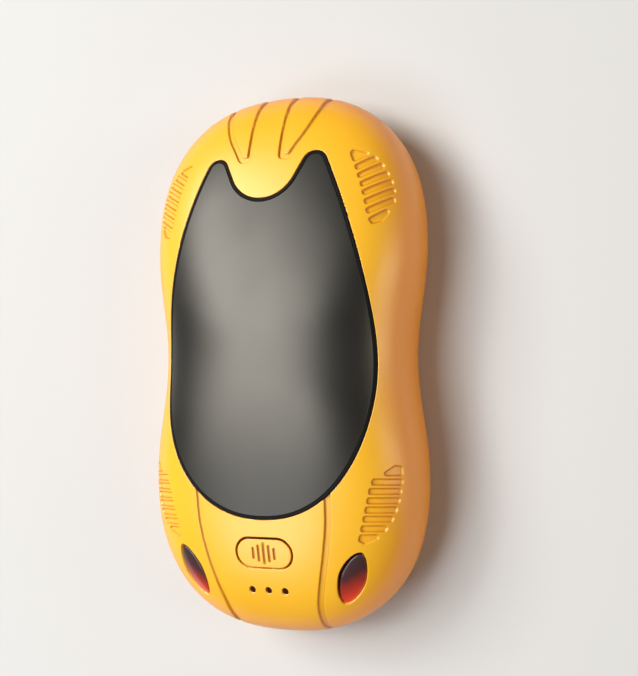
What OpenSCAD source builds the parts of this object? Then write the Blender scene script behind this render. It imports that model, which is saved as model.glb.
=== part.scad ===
// Rechargeable hand warmer, lying on its flat back with the domed front face up.
// The origin is the middle of the flat back. The eared end points along +Y, the charging end along -Y.

/* [Body] */
// Width across the two lobes
body_w = 55.6; // [52:0.2:62]
// Length from end to end
body_l = 105; // [100:0.5:115]
// Thickness from the flat back to the top of the dome
body_h = 25; // [24:0.2:28]
// Width across the waist
waist_w = 51; // [49:0.2:51.8]
// Distance of each lobe's widest place from the middle
lobe_y = 22.9; // [20:0.1:25]
// Squareness of the rounded ends
end_power = 2.4; // [2:0.05:3]
// Height of the widest line above the back, as a share of the thickness
rim_h_share = 0.384; // [0.36:0.004:0.416]
// Inset of the flat back from the widest line
back_inset = 3.3; // [2.4:0.1:4]
// Wall of the front shell
wall_t = 2.6; // [2.4:0.1:2.8]
// Height of the seam between the two shells
seam_z = 3.6; // [3.4:0.1:4]
// Width of the seam
seam_gap = 0.2; // [0.1:0.05:0.4]

/* [Front panel] */
// Distance of the panel opening from the side of the waist
panel_side_margin = 3.5; // [3.1:0.1:5.5]
// Place of the panel opening's widest line
panel_mid_y = -2; // [-5:0.1:1]
// Distance of the bottom of the opening from the charging end
panel_end_margin = 22.2; // [21.5:0.1:24.5]
// Half width of the opening near its ears
ear_half_w = 12; // [11.6:0.1:12.6]
// Distance of each ear's middle from the eared end
ear_end_margin = 15.9; // [15:0.1:17.5]
// Radius of each ear
ear_r = 2.55; // [2:0.05:2.7]
// Distance of the notch's middle from the eared end
notch_end_margin = 15.05; // [14.5:0.05:16]
// Radius of the notch between the ears
notch_r = 7.05; // [6:0.05:7.3]
// Thickness of the panel
panel_t = 1.2; // [0.8:0.1:1.4]
// Width of the black gasket round the panel
gasket_w = 0.85; // [0.5:0.05:1.2]

/* [Vents and grooves] */
// Depth of the pressed vents and grooves
press_depth = 0.45; // [0.3:0.05:0.7]
// Width of the long grooves
groove_w = 1.15; // [0.8:0.05:1.4]
// Height of one vent slot
vent_h = 1.15; // [0.8:0.05:1.3]
// Length of the longest vent slot
vent_l = 5.3; // [4:0.1:5.6]

/* [Button and lamps] */
// Length of the button opening
button_l = 11.9; // [10:0.1:13]
// Width of the button opening
button_w = 6.1; // [5:0.1:6.6]
// Distance of the button's middle from the charging end
button_end_margin = 15.95; // [15:0.05:16.5]
// Running gap round the button
button_gap = 0.25; // [0.2:0.05:0.4]
// Travel of the button
button_travel = 0.3; // [0.2:0.05:0.4]
// Distance of the row of indicator holes from the charging end
indicator_end_margin = 8.8; // [8.5:0.1:9.5]
// Spacing of the indicator holes
indicator_pitch = 3.4; // [3:0.1:4]
// Diameter of an indicator hole
indicator_d = 1.3; // [1.1:0.05:1.6]
// Length of a tail lens
lens_l = 11.2; // [9:0.1:11.6]
// Width of a tail lens
lens_w = 5.2; // [4:0.1:5.4]

/* [Back] */
// Distance of the back plate's recess from the body's side
plate_side_margin = 10.2; // [9.8:0.1:11.8]
// Distance of the back plate's recess from the body's ends
plate_end_margin = 21; // [20:0.1:22]
// Thickness of the back plate
plate_t = 1; // [0.8:0.05:1.1]
// Floor of the back shell
floor_t = 2.4; // [2.3:0.05:2.6]

/* [Inside] */
// Gap between the cell's tray and the lower posts
tray_end_gap = 0.5; // [0.4:0.1:4]
// Gap between the cell's tray and the wall at the waist
tray_side_gap = 2.9; // [2.7:0.1:6]
// Thickness of the foam between the cell and the front film
front_foam_t = 6.35; // [5.85:0.05:8]
// Thickness of the circuit board
board_t = 1.2; // [1:0.1:1.4]
// Diameter of a magnet
magnet_d = 8; // [6:0.1:8.4]

/* [Hidden] */

// Fits that several pieces share
cut_over = 1;
flush_drop = 0.1;
glue_t = 0.2;
skin_gap = 0.05;
seat_gap = 0.1;
loose_gap = 0.3;
fine = 48;
hole_fine = 24;
stroke_fine = 12;

// Body curves
dome_spread_power = 2.45;
dome_rise_power = 2.5;
rim_turn = 60;
half_w = body_w / 2;
half_l = body_l / 2;
waist_half = waist_w / 2;
rim_h = body_h * rim_h_share;
dome_h = body_h - rim_h;
end_l = half_l - lobe_y;
lobe_steps = 13;
waist_steps = 8;
dome_steps = 11;
rim_steps = 2;
top_flat_share = 0.6;
rim_turn_r = back_inset / (1 - cos(rim_turn));

// A point of a lobe's rounded end, from the widest place at 0 to the tip at 90
function end_point(t) = [
    half_w * pow(cos(t), 2 / end_power),
    lobe_y + end_l * pow(sin(t), 2 / end_power)
];
// Half the width between the lobes
function waist_x(y) = waist_half + (half_w - waist_half) * (1 - cos(180 * abs(y) / lobe_y)) / 2;
// Half the body's width anywhere along it
function body_x(y) = abs(y) < lobe_y
    ? waist_x(y)
    : half_w * pow(max(0, 1 - pow(min(1, (abs(y) - lobe_y) / end_l), end_power)), 1 / end_power);
right_side = [
    for (i = [lobe_steps : -1 : 1]) [end_point(90 * i / lobe_steps).x, -end_point(90 * i / lobe_steps).y],
    for (i = [-waist_steps : waist_steps]) [waist_x(lobe_y * i / waist_steps), lobe_y * i / waist_steps],
    for (i = [1 : lobe_steps]) end_point(90 * i / lobe_steps)
];
function mirrored(half) = concat(half, [for (i = [len(half) - 2 : -1 : 1]) [-half[i].x, half[i].y]]);
body_outline = mirrored(right_side);
// Every second point, for hidden faces
function thinned(outline, stride = 2) = [for (i = [0 : stride : len(outline) - 1]) outline[i]];
inner_outline = thinned(body_outline);
// The outline drawn in by d all round
function drawn_in(outline, d) = [for (p = outline) [p.x * (1 - d / half_w), p.y * (1 - d / half_l)]];
function at_height(outline, z) = [for (p = outline) [p.x, p.y, z]];

// Inset of the outside below the widest line
function rim_inset(z) = rim_turn_r * (1 - sqrt(1 - pow((1 - z / rim_h) * sin(rim_turn), 2)));
// Height of the dome at share s of the way from the middle to the outline
function dome_rise(s, h) = h * pow(max(0, 1 - pow(s, dome_spread_power)), 1 / dome_rise_power);
// The share s at a place, found by halving
function dome_share(x, y, low = 0, high = 1.5, n = 22) = n == 0
    ? (low + high) / 2
    : let (s = (low + high) / 2)
        abs(y) / s > half_l || abs(x) / s > body_x(y / s)
            ? dome_share(x, y, s, high, n - 1)
            : dome_share(x, y, low, s, n - 1);
// Height of the outside of the dome at a place
function dome_z(x, y) = rim_h + dome_rise(dome_share(x, y), dome_h);
// Height of the dome drawn in by d at a place
function inner_dome_z(x, y, d) =
    rim_h + dome_rise(dome_share(x / (1 - d / half_w), y / (1 - d / half_l)), dome_h - d);

// Panel curves
panel_end_power = 2.2;
panel_side_power = 1.95;
panel_half_w = waist_half - panel_side_margin;
panel_drop = half_l - panel_end_margin + panel_mid_y;
panel_taper = panel_half_w - ear_half_w;
ear_y = half_l - ear_end_margin;
ear_crown = 2.4;
panel_rise = ear_y + ear_crown - panel_mid_y;
notch_y = half_l - notch_end_margin;
panel_bottom_steps = 10;
panel_side_steps = 8;
ear_steps = 7;
notch_steps = 7;
function panel_side_x(y) =
    panel_half_w - panel_taper * pow(max(0, (y - panel_mid_y) / panel_rise), panel_side_power);
ear_lean = atan(panel_taper * panel_side_power / panel_rise
    * pow((ear_y - panel_mid_y) / panel_rise, panel_side_power - 1));
ear_x = panel_side_x(ear_y) - ear_r / cos(ear_lean);
ear_to_notch = norm([ear_x, ear_y - notch_y]);
notch_bearing = atan2(notch_y - ear_y, -ear_x);
ear_end_turn = notch_bearing - acos(min(1, (ear_r + notch_r) / ear_to_notch));
// The panel's outline drawn in by g: rounded bottom, sides, two ears and the notch between them
function panel_outline(g) = mirrored([
    for (i = [panel_bottom_steps : -1 : 1])
        let (t = 90 * i / panel_bottom_steps)
            [(panel_half_w - g) * pow(cos(t), 2 / panel_end_power),
             panel_mid_y - (panel_drop - g) * pow(sin(t), 2 / panel_end_power)],
    for (i = [0 : panel_side_steps - 1])
        let (y = panel_mid_y + (ear_y + (ear_r - g) * sin(ear_lean) - panel_mid_y) * i / panel_side_steps)
            [panel_side_x(y) - g / cos(ear_lean * i / panel_side_steps), y],
    for (i = [0 : ear_steps])
        let (a = ear_lean + (ear_end_turn - ear_lean) * i / ear_steps)
            [ear_x + (ear_r - g) * cos(a), ear_y + (ear_r - g) * sin(a)],
    for (i = [0 : notch_steps])
        let (a = ear_end_turn - 180 - (ear_end_turn - 90) * i / notch_steps)
            [max(0, notch_r + g) * cos(a), notch_y + (notch_r + g) * sin(a)]
]);

// Layers under the dome, each a depth below its surface
pocket_depth = flush_drop + panel_t + glue_t + 2 * seat_gap;
glue_floor_gap = 0.2;
ledge_w = 2.2;
film_t = 0.25;
film_margin = 0.4;
film_drop = flush_drop + panel_t + seat_gap;
foam_drop = film_drop + film_t + loose_gap;
panel_rings = 6;
film_rings = 4;
foam_rings = 3;
lens_rings = 3;

// Places along the body
button_y = button_end_margin - half_l;
indicator_y = indicator_end_margin - half_l;
plate_half_w = half_w - plate_side_margin;
plate_half_l = half_l - plate_end_margin;

// Heights inside, from the back up
recess_depth = flush_drop / 2 + plate_t + glue_t + 2 * skin_gap;
plate_low = flush_drop / 2;
plate_high = plate_low + plate_t;
chassis_rise = 1.2;
chassis_low = seam_z + chassis_rise;
chassis_t = 1.2;
chassis_high = chassis_low + chassis_t;
lip_t = 0.9;
lip_gap = 0.12;
dish_wall = wall_t + lip_gap;
chassis_clear = 0.58;
chassis_inset = dish_wall + lip_t + chassis_clear;
cell_low = chassis_high + seat_gap;
cell_high = body_h - foam_drop - front_foam_t - seat_gap;
cell_wall = 1.2;
cell_clear = 0.3;
port_w = 8.94;
port_h = 3.16;
port_l = 7.3;
port_wall = 0.3;
board_low = rim_h + port_h / 2 + skin_gap;
board_high = board_low + board_t;
board_clear = 1;
board_inset = wall_t + board_clear;

// Screws, inserts and posts
screw_d = 1.96;
screw_hole_d = 2.3;
thread_bore_d = 2;
head_d = 3.8;
head_h = 1.2;
insert_d = 3.2;
insert_l = 4;
post_d = 5.4;
post_gap = 0.1;
post_clear = 0.6;
post_low = chassis_high + post_gap;
insert_top = post_low + insert_l + loose_gap;
lower_post_side = 9.8;
lower_post_end = 24.3;
upper_post_side = 10.3;
upper_post_end = 17;
lower_post = [half_w - lower_post_side, lower_post_end - half_l];
upper_post = [half_w - upper_post_side, half_l - upper_post_end];
post_places = [for (p = [lower_post, upper_post], side = [-1, 1]) [side * p.x, p.y]];
shell_screw_x_share = 0.33;
shell_screw_y_share = 0.84;
shell_screw_x = plate_half_w * shell_screw_x_share;
shell_screw_y = plate_half_l * shell_screw_y_share;
shell_boss_d = 6.4;
boss_gap = 0.2;
shell_boss_top = chassis_low - boss_gap;
shell_screw_l = 6.4;
chassis_boss_d = 4.6;
chassis_boss_h = 3.6;
chassis_screw_l = 5.2;
shell_screw_places = [for (sx = [-1, 1], sy = [-1, 1]) [sx * shell_screw_x, sy * shell_screw_y]];
board_screw_side = 9.4;
board_screw_from_post = 7.2;
board_screw_x = half_w - board_screw_side;
board_screw_y = lower_post.y - board_screw_from_post;
board_screw_l = 4;
standoff_d = 4.2;
board_screw_places = [for (side = [-1, 1]) [side * board_screw_x, board_screw_y]];

// The cell fills its tray, and the tray the room between the posts and between the walls
tray_wall = cell_wall + cell_clear;
cell_l = 2 * (-lower_post.y - post_d / 2 - tray_end_gap - tray_wall);
cell_w = 2 * (waist_half - wall_t - tray_side_gap - tray_wall);

// Closed solid through a list of rings, lowest first, each ring anticlockwise seen from above
module ring_solid(rings) {
    n = len(rings[0]);
    m = len(rings);
    polyhedron(
        points = [for (r = rings) each r],
        faces = concat(
            [[for (i = [0 : n - 1]) i]],
            [for (k = [0 : m - 2], i = [0 : n - 1])
                each [[k * n + i, (k + 1) * n + i, (k + 1) * n + (i + 1) % n],
                      [k * n + i, (k + 1) * n + (i + 1) % n, k * n + (i + 1) % n]]],
            [[for (i = [n - 1 : -1 : 0]) (m - 1) * n + i]]));
}

// The whole body drawn in by d, down to the height low. A stride of 2 halves its fineness, for hidden faces
module dome_body(d, low, inset_rim = true, stride = 1) {
    outline = thinned(body_outline, stride);
    steps = ceil(dome_steps / stride);
    below = [for (i = [0 : rim_steps - 1])
        let (z = low + (rim_h - low) * i / rim_steps)
            at_height(drawn_in(outline, d + (inset_rim ? rim_inset(z) : 0)), z)];
    above = [for (i = [0 : steps])
        let (a = 90 * (1 - i / (steps + top_flat_share)),
             s = pow(sin(a), 2 / dome_spread_power))
            [for (p = drawn_in(outline, d)) [p.x * s, p.y * s, rim_h + dome_rise(s, dome_h - d)]]];
    ring_solid(concat(below, above));
}

// A skin that follows the dome: its top lies top_drop below the surface and its bottom bottom_drop below.
// Its rings of points lie closer together towards the edge, where the dome is steeper
module skin_patch(outline, middle, top_drop, bottom_drop, steps, flat_low = undef) {
    n = len(outline);
    spread = [for (k = [1 : steps], p = outline) middle + (p - middle) * sin(90 * k / steps)];
    flat_points = concat([middle], spread);
    surface = [for (p = flat_points) dome_z(p.x, p.y)];
    count = len(flat_points);
    high = [for (i = [0 : count - 1]) [flat_points[i].x, flat_points[i].y, surface[i] - top_drop]];
    low = [for (i = [0 : count - 1])
        [flat_points[i].x, flat_points[i].y, is_undef(flat_low) ? surface[i] - bottom_drop : flat_low]];
    top_faces = concat(
        [for (i = [0 : n - 1]) [0, 1 + (i + 1) % n, 1 + i]],
        [for (k = [0 : steps - 2], i = [0 : n - 1])
            let (a = 1 + k * n + i, b = 1 + k * n + (i + 1) % n)
                each [[a, b, b + n], [a, b + n, a + n]]]);
    rim = 1 + (steps - 1) * n;
    polyhedron(
        points = concat(high, low),
        faces = concat(
            top_faces,
            [for (f = top_faces) [count + f[2], count + f[1], count + f[0]]],
            [for (i = [0 : n - 1])
                let (a = rim + i, b = rim + (i + 1) % n)
                    each [[a, b, count + b], [a, count + b, count + a]]]));
}

// A band that follows the dome between two outlines with the same number of points. It ends bottom_drop below
// the surface or, with a floor_depth, on the dome drawn in by that much
module skin_band(outer, inner, top_drop, bottom_drop = undef, floor_depth = undef) {
    n = len(outer);
    function top(outline) = [for (p = outline) [p.x, p.y, dome_z(p.x, p.y) - top_drop]];
    function bottom(outline) = [for (p = outline)
        [p.x, p.y, is_undef(floor_depth)
            ? dome_z(p.x, p.y) - bottom_drop
            : inner_dome_z(p.x, p.y, floor_depth) + glue_floor_gap]];
    loops = [bottom(outer), top(outer), top(inner), bottom(inner)];
    polyhedron(
        points = [for (loop = loops) each loop],
        faces = [for (k = [0 : 3], i = [0 : n - 1])
            let (j = (i + 1) % n, here = k * n, next = (k + 1) % 4 * n)
                each [[here + i, next + i, next + j], [here + i, next + j, here + j]]]);
}

module prism(outline, low, high) {
    translate([0, 0, low]) linear_extrude(high - low) polygon(outline);
}

// One straight stroke with round ends, standing from low to high
module stroke(from, to, width, low, high) {
    translate([0, 0, low])
        linear_extrude(high - low)
            hull() {
                translate(from) circle(d = width, $fn = stroke_fine);
                translate(to) circle(d = width, $fn = stroke_fine);
            }
}

// A groove along a list of places given as shares
module groove(shares) {
    for (i = [0 : len(shares) - 2])
        stroke(on_body(shares[i]), on_body(shares[i + 1]), groove_w, groove_low, body_h + cut_over);
}

module both_sides() {
    children();
    mirror([1, 0, 0]) children();
}

// Vents: eight slots in each group, longest in the middle of the group
vent_lower_length_shares = [0.5, 0.87, 0.93, 1, 0.98, 0.93, 0.84, 0.6];
vent_upper_length_shares = [0.5, 0.78, 0.88, 0.94, 1, 1, 0.93, 0.72];
vent_pitch = 1.71;
vent_lower_start_share = [0.788, -0.398];
vent_lower_lean = -14;
vent_lower_slant = 0;
vent_upper_start_share = [0.638, 0.698];
vent_upper_lean = 17;
vent_upper_slant = 20;
// A place given as shares of the body's half width and half length
function on_body(share) = [share.x * half_w, share.y * half_l];
module vent_group(start_share, lean, slant, length_shares) {
    for (i = [0 : len(length_shares) - 1]) {
        left = on_body(start_share) + vent_pitch * i * [sin(lean), -cos(lean)] + [vent_h / 2, 0];
        run = vent_l * length_shares[i] - vent_h;
        stroke(left, left + run * [cos(slant), sin(slant)], vent_h, rim_h, body_h + cut_over);
    }
}

// Claw grooves over the eared end and trunk grooves over the charging end
claw_inner_shares = [[0.119, 1.02], [0.119, 0.876], [0.119, 0.75], [0.133, 0.733], [0.162, 0.73]];
claw_outer_shares = [[0.187, 0.735], [0.23, 0.773], [0.288, 0.823], [0.331, 0.876], [0.36, 0.926],
    [0.374, 1]];
trunk_groove_shares = [[0.478, -0.499], [0.471, -0.59], [0.439, -0.695], [0.392, -0.8], [0.349, -0.895],
    [0.335, -1]];
groove_below_rim = 2;
groove_low = rim_h - groove_below_rim;

// Tail lenses
lens_place_share = [0.5935, -0.775];
lens_place = on_body(lens_place_share);
lens_slant = -24.4;
lens_power = 1.7;
lens_steps = 32;
lens_gap = 0.12;
lens_drop = 0.3;
lens_depth = 3.4;
function signed_power(v, e) = sign(v) * pow(abs(v), e);
function lens_outline(g) = [for (i = [0 : lens_steps - 1])
    let (t = 360 * i / lens_steps,
         u = (lens_w / 2 - g) * signed_power(cos(t), 2 / lens_power),
         v = (lens_l / 2 - g) * signed_power(sin(t), 2 / lens_power))
        lens_place + [u * cos(lens_slant) - v * sin(lens_slant), u * sin(lens_slant) + v * cos(lens_slant)]];
function flipped(outline) = [for (i = [len(outline) - 1 : -1 : 0]) [-outline[i].x, outline[i].y]];

// Charging port mouth in the end wall
port_gap = 0.13;
port_front_drop = 0.7;
port_front_y = -half_l + port_front_drop;
module port_outline(grow) {
    hull()
        for (side = [-1, 1])
            translate([side * (port_w - port_h) / 2, 0]) circle(d = port_h + 2 * grow, $fn = fine);
}
module along_port(low_y, high_y) {
    translate([0, high_y, rim_h]) rotate([90, 0, 0]) linear_extrude(high_y - low_y) children();
}

// Button opening
module button_outline(shrink, low, high) {
    arm = (button_l - button_w) / 2;
    stroke([-arm, button_y], [arm, button_y], button_w - 2 * shrink, low, high);
}

// The vents and grooves of the right side
module pressed_lines() {
    vent_group(vent_lower_start_share, vent_lower_lean, vent_lower_slant, vent_lower_length_shares);
    vent_group(vent_upper_start_share, vent_upper_lean, vent_upper_slant, vent_upper_length_shares);
    groove(claw_inner_shares);
    groove(claw_outer_shares);
    groove(trunk_groove_shares);
}

module front_shell() {
    color("#ffc41e")
        difference() {
            union() {
                difference() {
                    union() {
                        difference() {
                            dome_body(0, seam_z + seam_gap / 2);
                            both_sides() pressed_lines();
                        }
                        dome_body(press_depth, groove_low - cut_over);
                    }
                    prism(panel_outline(0), rim_h, body_h + cut_over);
                }
                dome_body(pocket_depth, groove_low - cut_over, stride = 2);
            }
            difference() {
                dome_body(wall_t, seam_z - cut_over, false, 2);
                for (p = post_places)
                    translate([p.x, p.y, post_low]) cylinder(d = post_d, h = body_h, $fn = hole_fine);
            }
            prism(panel_outline(ledge_w), rim_h, body_h + cut_over);
            for (p = post_places)
                translate([p.x, p.y, 0])
                    cylinder(d = insert_d + 2 * skin_gap, h = insert_top, $fn = hole_fine);
            button_outline(0, rim_h, body_h + cut_over);
            for (i = [-1 : 1])
                translate([i * indicator_pitch, indicator_y, rim_h])
                    cylinder(d = indicator_d, h = body_h, $fn = hole_fine);
            prism(lens_outline(0), rim_h, body_h + cut_over);
            prism(flipped(lens_outline(0)), rim_h, body_h + cut_over);
            along_port(-half_l - cut_over, -half_l + 2 * wall_t) port_outline(port_gap);
        }
}

// Back shell: a shallow dish with a lip that locates the front shell
lip_h = 1.6;
back_face_t = 0.3;
back_rim_steps = 3;
opening_side_in = 4.4;
opening_end_in = 8.5;
opening_half_w = plate_half_w - opening_side_in;
opening_half_l = plate_half_l - opening_end_in;
plate_power = 2.2;
plate_steps = 72;
magnet_t = 1.6;
magnet_cup_wall = 1;
magnet_x_share = 0.4545;
magnet_past_plate = 7.5;
magnet_x = plate_half_w * magnet_x_share;
magnet_y = plate_half_l + magnet_past_plate;
function oval(a, b) = [for (i = [0 : plate_steps - 1])
    let (t = 360 * i / plate_steps)
        [a * signed_power(cos(t), 2 / plate_power), b * signed_power(sin(t), 2 / plate_power)]];
magnet_places = [for (sx = [-1, 1], sy = [-1, 1]) [sx * magnet_x, sy * magnet_y]];
module back_shell() {
    top = seam_z - seam_gap / 2;
    lip_high = top + lip_h;
    color("#ffc41e")
        difference() {
            union() {
                prism(drawn_in(body_outline, rim_inset(back_face_t)), 0, back_face_t);
                difference() {
                    ring_solid([for (i = [0 : back_rim_steps])
                        let (z = back_face_t + (top - back_face_t) * i / back_rim_steps)
                            at_height(drawn_in(body_outline, rim_inset(z)), z)]);
                    prism(drawn_in(inner_outline, dish_wall + lip_t), floor_t, top + cut_over);
                }
                difference() {
                    prism(drawn_in(inner_outline, dish_wall), floor_t, lip_high);
                    prism(drawn_in(inner_outline, dish_wall + lip_t), 0, lip_high + cut_over);
                }
                for (p = shell_screw_places)
                    translate([p.x, p.y, recess_depth])
                        cylinder(d = shell_boss_d, h = shell_boss_top - recess_depth, $fn = fine);
                for (p = magnet_places)
                    translate([p.x, p.y, floor_t - skin_gap])
                        difference() {
                            cylinder(d = magnet_d + 2 * magnet_cup_wall, h = magnet_t, $fn = fine);
                            translate([0, 0, skin_gap])
                                cylinder(d = magnet_d + 2 * seat_gap, h = magnet_t + cut_over, $fn = fine);
                        }
            }
            prism(oval(plate_half_w, plate_half_l), -cut_over, recess_depth);
            prism(oval(opening_half_w, opening_half_l), 0, floor_t + cut_over);
            for (p = shell_screw_places)
                translate([p.x, p.y, 0]) {
                    cylinder(d = screw_hole_d, h = body_h, $fn = fine);
                    cylinder(d = head_d + 2 * seat_gap, h = recess_depth + head_h + seat_gap, $fn = fine);
                }
        }
}

module front_panel() {
    color("#3a3733")
        skin_patch(panel_outline(gasket_w + skin_gap), [0, 0], flush_drop, flush_drop + panel_t, panel_rings);
}

module panel_gasket() {
    color("#0d0b0a")
        skin_band(panel_outline(skin_gap), panel_outline(gasket_w), flush_drop, flush_drop + panel_t);
}

module panel_adhesive() {
    color("#1c1c1e")
        skin_band(panel_outline(2 * skin_gap), panel_outline(ledge_w), flush_drop + panel_t + seat_gap,
            floor_depth = pocket_depth);
}

module front_heater_film() {
    color("#c98a3c")
        skin_patch(panel_outline(ledge_w + film_margin), [0, 0], film_drop, film_drop + film_t, film_rings);
}

foam_in = 4.5;
front_foam_l = cell_l - 2 * foam_in;
front_foam_w = cell_w - 2 * foam_in;
foam_corner_r = 2;
foam_side_steps = 4;
function rounded_box(l, w, r) = [for (corner = [[1, -1, -90], [1, 1, 0], [-1, 1, 90], [-1, -1, 180]],
    i = [0 : foam_side_steps])
        let (a = corner[2] + 90 * i / foam_side_steps)
            [corner[0] * (w / 2 - r) + r * cos(a), corner[1] * (l / 2 - r) + r * sin(a)]];
module front_foam() {
    color("#55565a")
        skin_patch(rounded_box(front_foam_l, front_foam_w, foam_corner_r), [0, 0], foam_drop, 0, foam_rings,
            cell_high + seat_gap);
}

// Button: domed cap, retaining flange under the shell, and a stem onto the switch
flange_reach = 0.8;
flange_t = 0.8;
flange_high = inner_dome_z(button_l / 2, button_y - button_w / 2, wall_t) - loose_gap;
stem_d = 3;
stem_gap = 0.1;
cap_steps = 10;
cap_rings = 3;
cap_line_pitch = 1.08;
cap_line_w = 0.4;
cap_line_depth = 0.35;
cap_line_length_shares = [0.36, 0.52, 0.68, 0.52, 0.36];
button_tilt = atan((dome_z(0, button_y + button_w / 2) - dome_z(0, button_y - button_w / 2)) / button_w);
function stadium(l, w, y) = [for (side = [1, -1], i = [0 : cap_steps])
    let (a = (side > 0 ? -90 : 90) + 180 * i / cap_steps)
        [side * (l - w) / 2 + w / 2 * cos(a), y + w / 2 * sin(a)]];
module power_button() {
    color("#ffc41e") {
        difference() {
            skin_patch(stadium(button_l - 2 * button_gap, button_w - 2 * button_gap, button_y), [0, button_y],
                0, 0, cap_rings, flange_high - skin_gap);
            translate([0, button_y, dome_z(0, button_y) - cap_line_depth])
                rotate([button_tilt, 0, 0])
                    for (i = [0 : len(cap_line_length_shares) - 1]) {
                        x = (i - (len(cap_line_length_shares) - 1) / 2) * cap_line_pitch;
                        reach = cap_line_length_shares[i] * button_w / 2 - cap_line_w / 2;
                        stroke([x, -reach], [x, reach], cap_line_w, 0, cut_over);
                    }
        }
        button_outline(-flange_reach, flange_high - flange_t, flange_high);
        translate([0, button_y, plunger_high + stem_gap])
            cylinder(d = stem_d, h = flange_high - plunger_high - stem_gap, $fn = fine);
    }
}

// Switch under the button. Its body is the tallest, in the steps that such switches come in, that leaves room
// for the button to move
switch_w = 6;
switch_step = 0.5;
switch_room = 1.3;
switch_h = switch_step * floor((flange_high - flange_t - switch_room - board_high) / switch_step);
switch_hole_d = 3.7;
plunger_d = 3.4;
plunger_inside = 1;
plunger_rise = 1.3;
switch_high = board_high + switch_h;
plunger_high = switch_high + plunger_rise;
module tact_switch() {
    color("#2a2a2c")
        difference() {
            translate([-switch_w / 2, button_y - switch_w / 2, board_high])
                cube([switch_w, switch_w, switch_h]);
            translate([0, button_y, switch_high - plunger_inside - button_travel - loose_gap])
                cylinder(d = switch_hole_d, h = plunger_inside + button_travel + loose_gap + cut_over,
                    $fn = fine);
        }
}
module switch_plunger() {
    color("#8c1f1a")
        translate([0, button_y, switch_high - plunger_inside])
            cylinder(d = plunger_d, h = plunger_high - switch_high + plunger_inside, $fn = fine);
}

// Three light pipes on one bar
pipe_gap = 0.1;
pipe_drop = 0.5;
guide_bar_t = 1;
guide_bar_w = 1.6;
guide_above_board = 0.9;
guide_low = board_high + guide_above_board;
module light_guide() {
    pipe_high = dome_z(0, indicator_y) - pipe_drop;
    color("#e8eef0")
        union() {
            for (i = [-1 : 1])
                translate([i * indicator_pitch, indicator_y, guide_low])
                    cylinder(d = indicator_d - 2 * pipe_gap, h = pipe_high - guide_low, $fn = fine);
            translate([-indicator_pitch, indicator_y - guide_bar_w / 2, guide_low])
                cube([2 * indicator_pitch, guide_bar_w, guide_bar_t]);
        }
}

led_l = 1.6;
led_w = 0.9;
led_h = 0.7;
module indicator_leds() {
    color("#f4f1d8")
        for (i = [-1 : 1])
            on_board([i * indicator_pitch, indicator_y], [led_l, led_w, led_h]);
}

module tail_lens_right() {
    color("#b3261a")
        skin_patch(lens_outline(lens_gap), lens_place, lens_drop, lens_depth, lens_rings);
}
module tail_lens_left() {
    mirror([1, 0, 0]) tail_lens_right();
}

tail_led_in = 1.1;
tail_led_place = lens_place + [-tail_led_in, tail_led_in];
tail_led_size = [3, 2, 1.2];
module tail_leds() {
    color("#f4f1d8")
        both_sides()
            on_board(tail_led_place, tail_led_size);
}

// Charging port: rolled metal shell, closed at the back, with a plastic tongue inside
tongue_t = 0.7;
tongue_w = 6.7;
tongue_short = 1;
port_back_t = 1.1;
module usb_c_port() {
    color("#c9ccd0")
        difference() {
            along_port(port_front_y, port_front_y + port_l) port_outline(0);
            along_port(port_front_y - cut_over, port_front_y + port_l - port_back_t) port_outline(-port_wall);
        }
}
module usb_c_tongue() {
    color("#1a1a1c")
        translate([-tongue_w / 2, port_front_y + tongue_short, rim_h - tongue_t / 2])
            cube([tongue_w, port_l - port_back_t - tongue_short, tongue_t]);
}

board_arc_steps = 18;
board_start_y = post_d / 2 + post_clear - lower_post.y;
board_start_turn = asin(pow((board_start_y / (1 - board_inset / half_l) - lobe_y) / end_l, end_power / 2));
board_outline = [for (i = [0 : board_arc_steps])
    let (t = board_start_turn + (90 - board_start_turn) * (i <= board_arc_steps / 2 ? 2 * i / board_arc_steps
            : 2 - 2 * i / board_arc_steps),
         p = drawn_in([end_point(t)], board_inset)[0])
        [(i <= board_arc_steps / 2 ? 1 : -1) * p.x, -p.y]];
module circuit_board() {
    color("#1f5c3a")
        difference() {
            prism([for (i = [board_arc_steps : -1 : 0]) board_outline[i]], board_low, board_high);
            for (p = board_screw_places)
                translate([p.x, p.y, 0]) cylinder(d = screw_hole_d, h = body_h, $fn = fine);
        }
}

// Chips on the board, each by its middle and size
controller_size = [4, 4, 0.9];
inductor_size = [5, 5, 2.8];
capacitor_size = [1.6, 0.8, 0.8];
connector_size = [6, 3.6, 3.4];
chip_gap = 0.8;
controller_from_switch = 3.6;
controller_below_button = 2.05;
inductor_from_switch = 2.9;
inductor_below_button = 1.85;
connector_from_screw = 2.5;
connector_above_button = 2.65;
capacitor_from_pipe = 0.25;
capacitor_above_pipe = 2.3;
controller_place = [switch_w / 2 + controller_from_switch + controller_size.x / 2,
    button_y - controller_below_button];
inductor_place = [-switch_w / 2 - inductor_from_switch - inductor_size.x / 2,
    button_y - inductor_below_button];
connector_place = [board_screw_x - head_d / 2 - connector_from_screw - connector_size.x / 2,
    button_y + connector_above_button];
capacitor_x = indicator_pitch + indicator_d / 2 + capacitor_from_pipe + capacitor_size.x / 2;
capacitor_pitch = capacitor_size.x + chip_gap;
capacitor_places = [for (side = [-1, 1], i = [0, 1])
    [side * (capacitor_x + i * capacitor_pitch), indicator_y + capacitor_above_pipe]];
module on_board(place, size) {
    translate([place.x - size.x / 2, place.y - size.y / 2, board_high]) cube(size);
}
module charge_controller() {
    color("#202022") on_board(controller_place, controller_size);
}
module boost_inductor() {
    color("#3a3a3d") on_board(inductor_place, inductor_size);
}
module board_capacitors() {
    color("#b08a5a")
        for (place = capacitor_places) on_board(place, capacitor_size);
}
module battery_connector() {
    color("#f1efe6") on_board(connector_place, connector_size);
}

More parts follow.
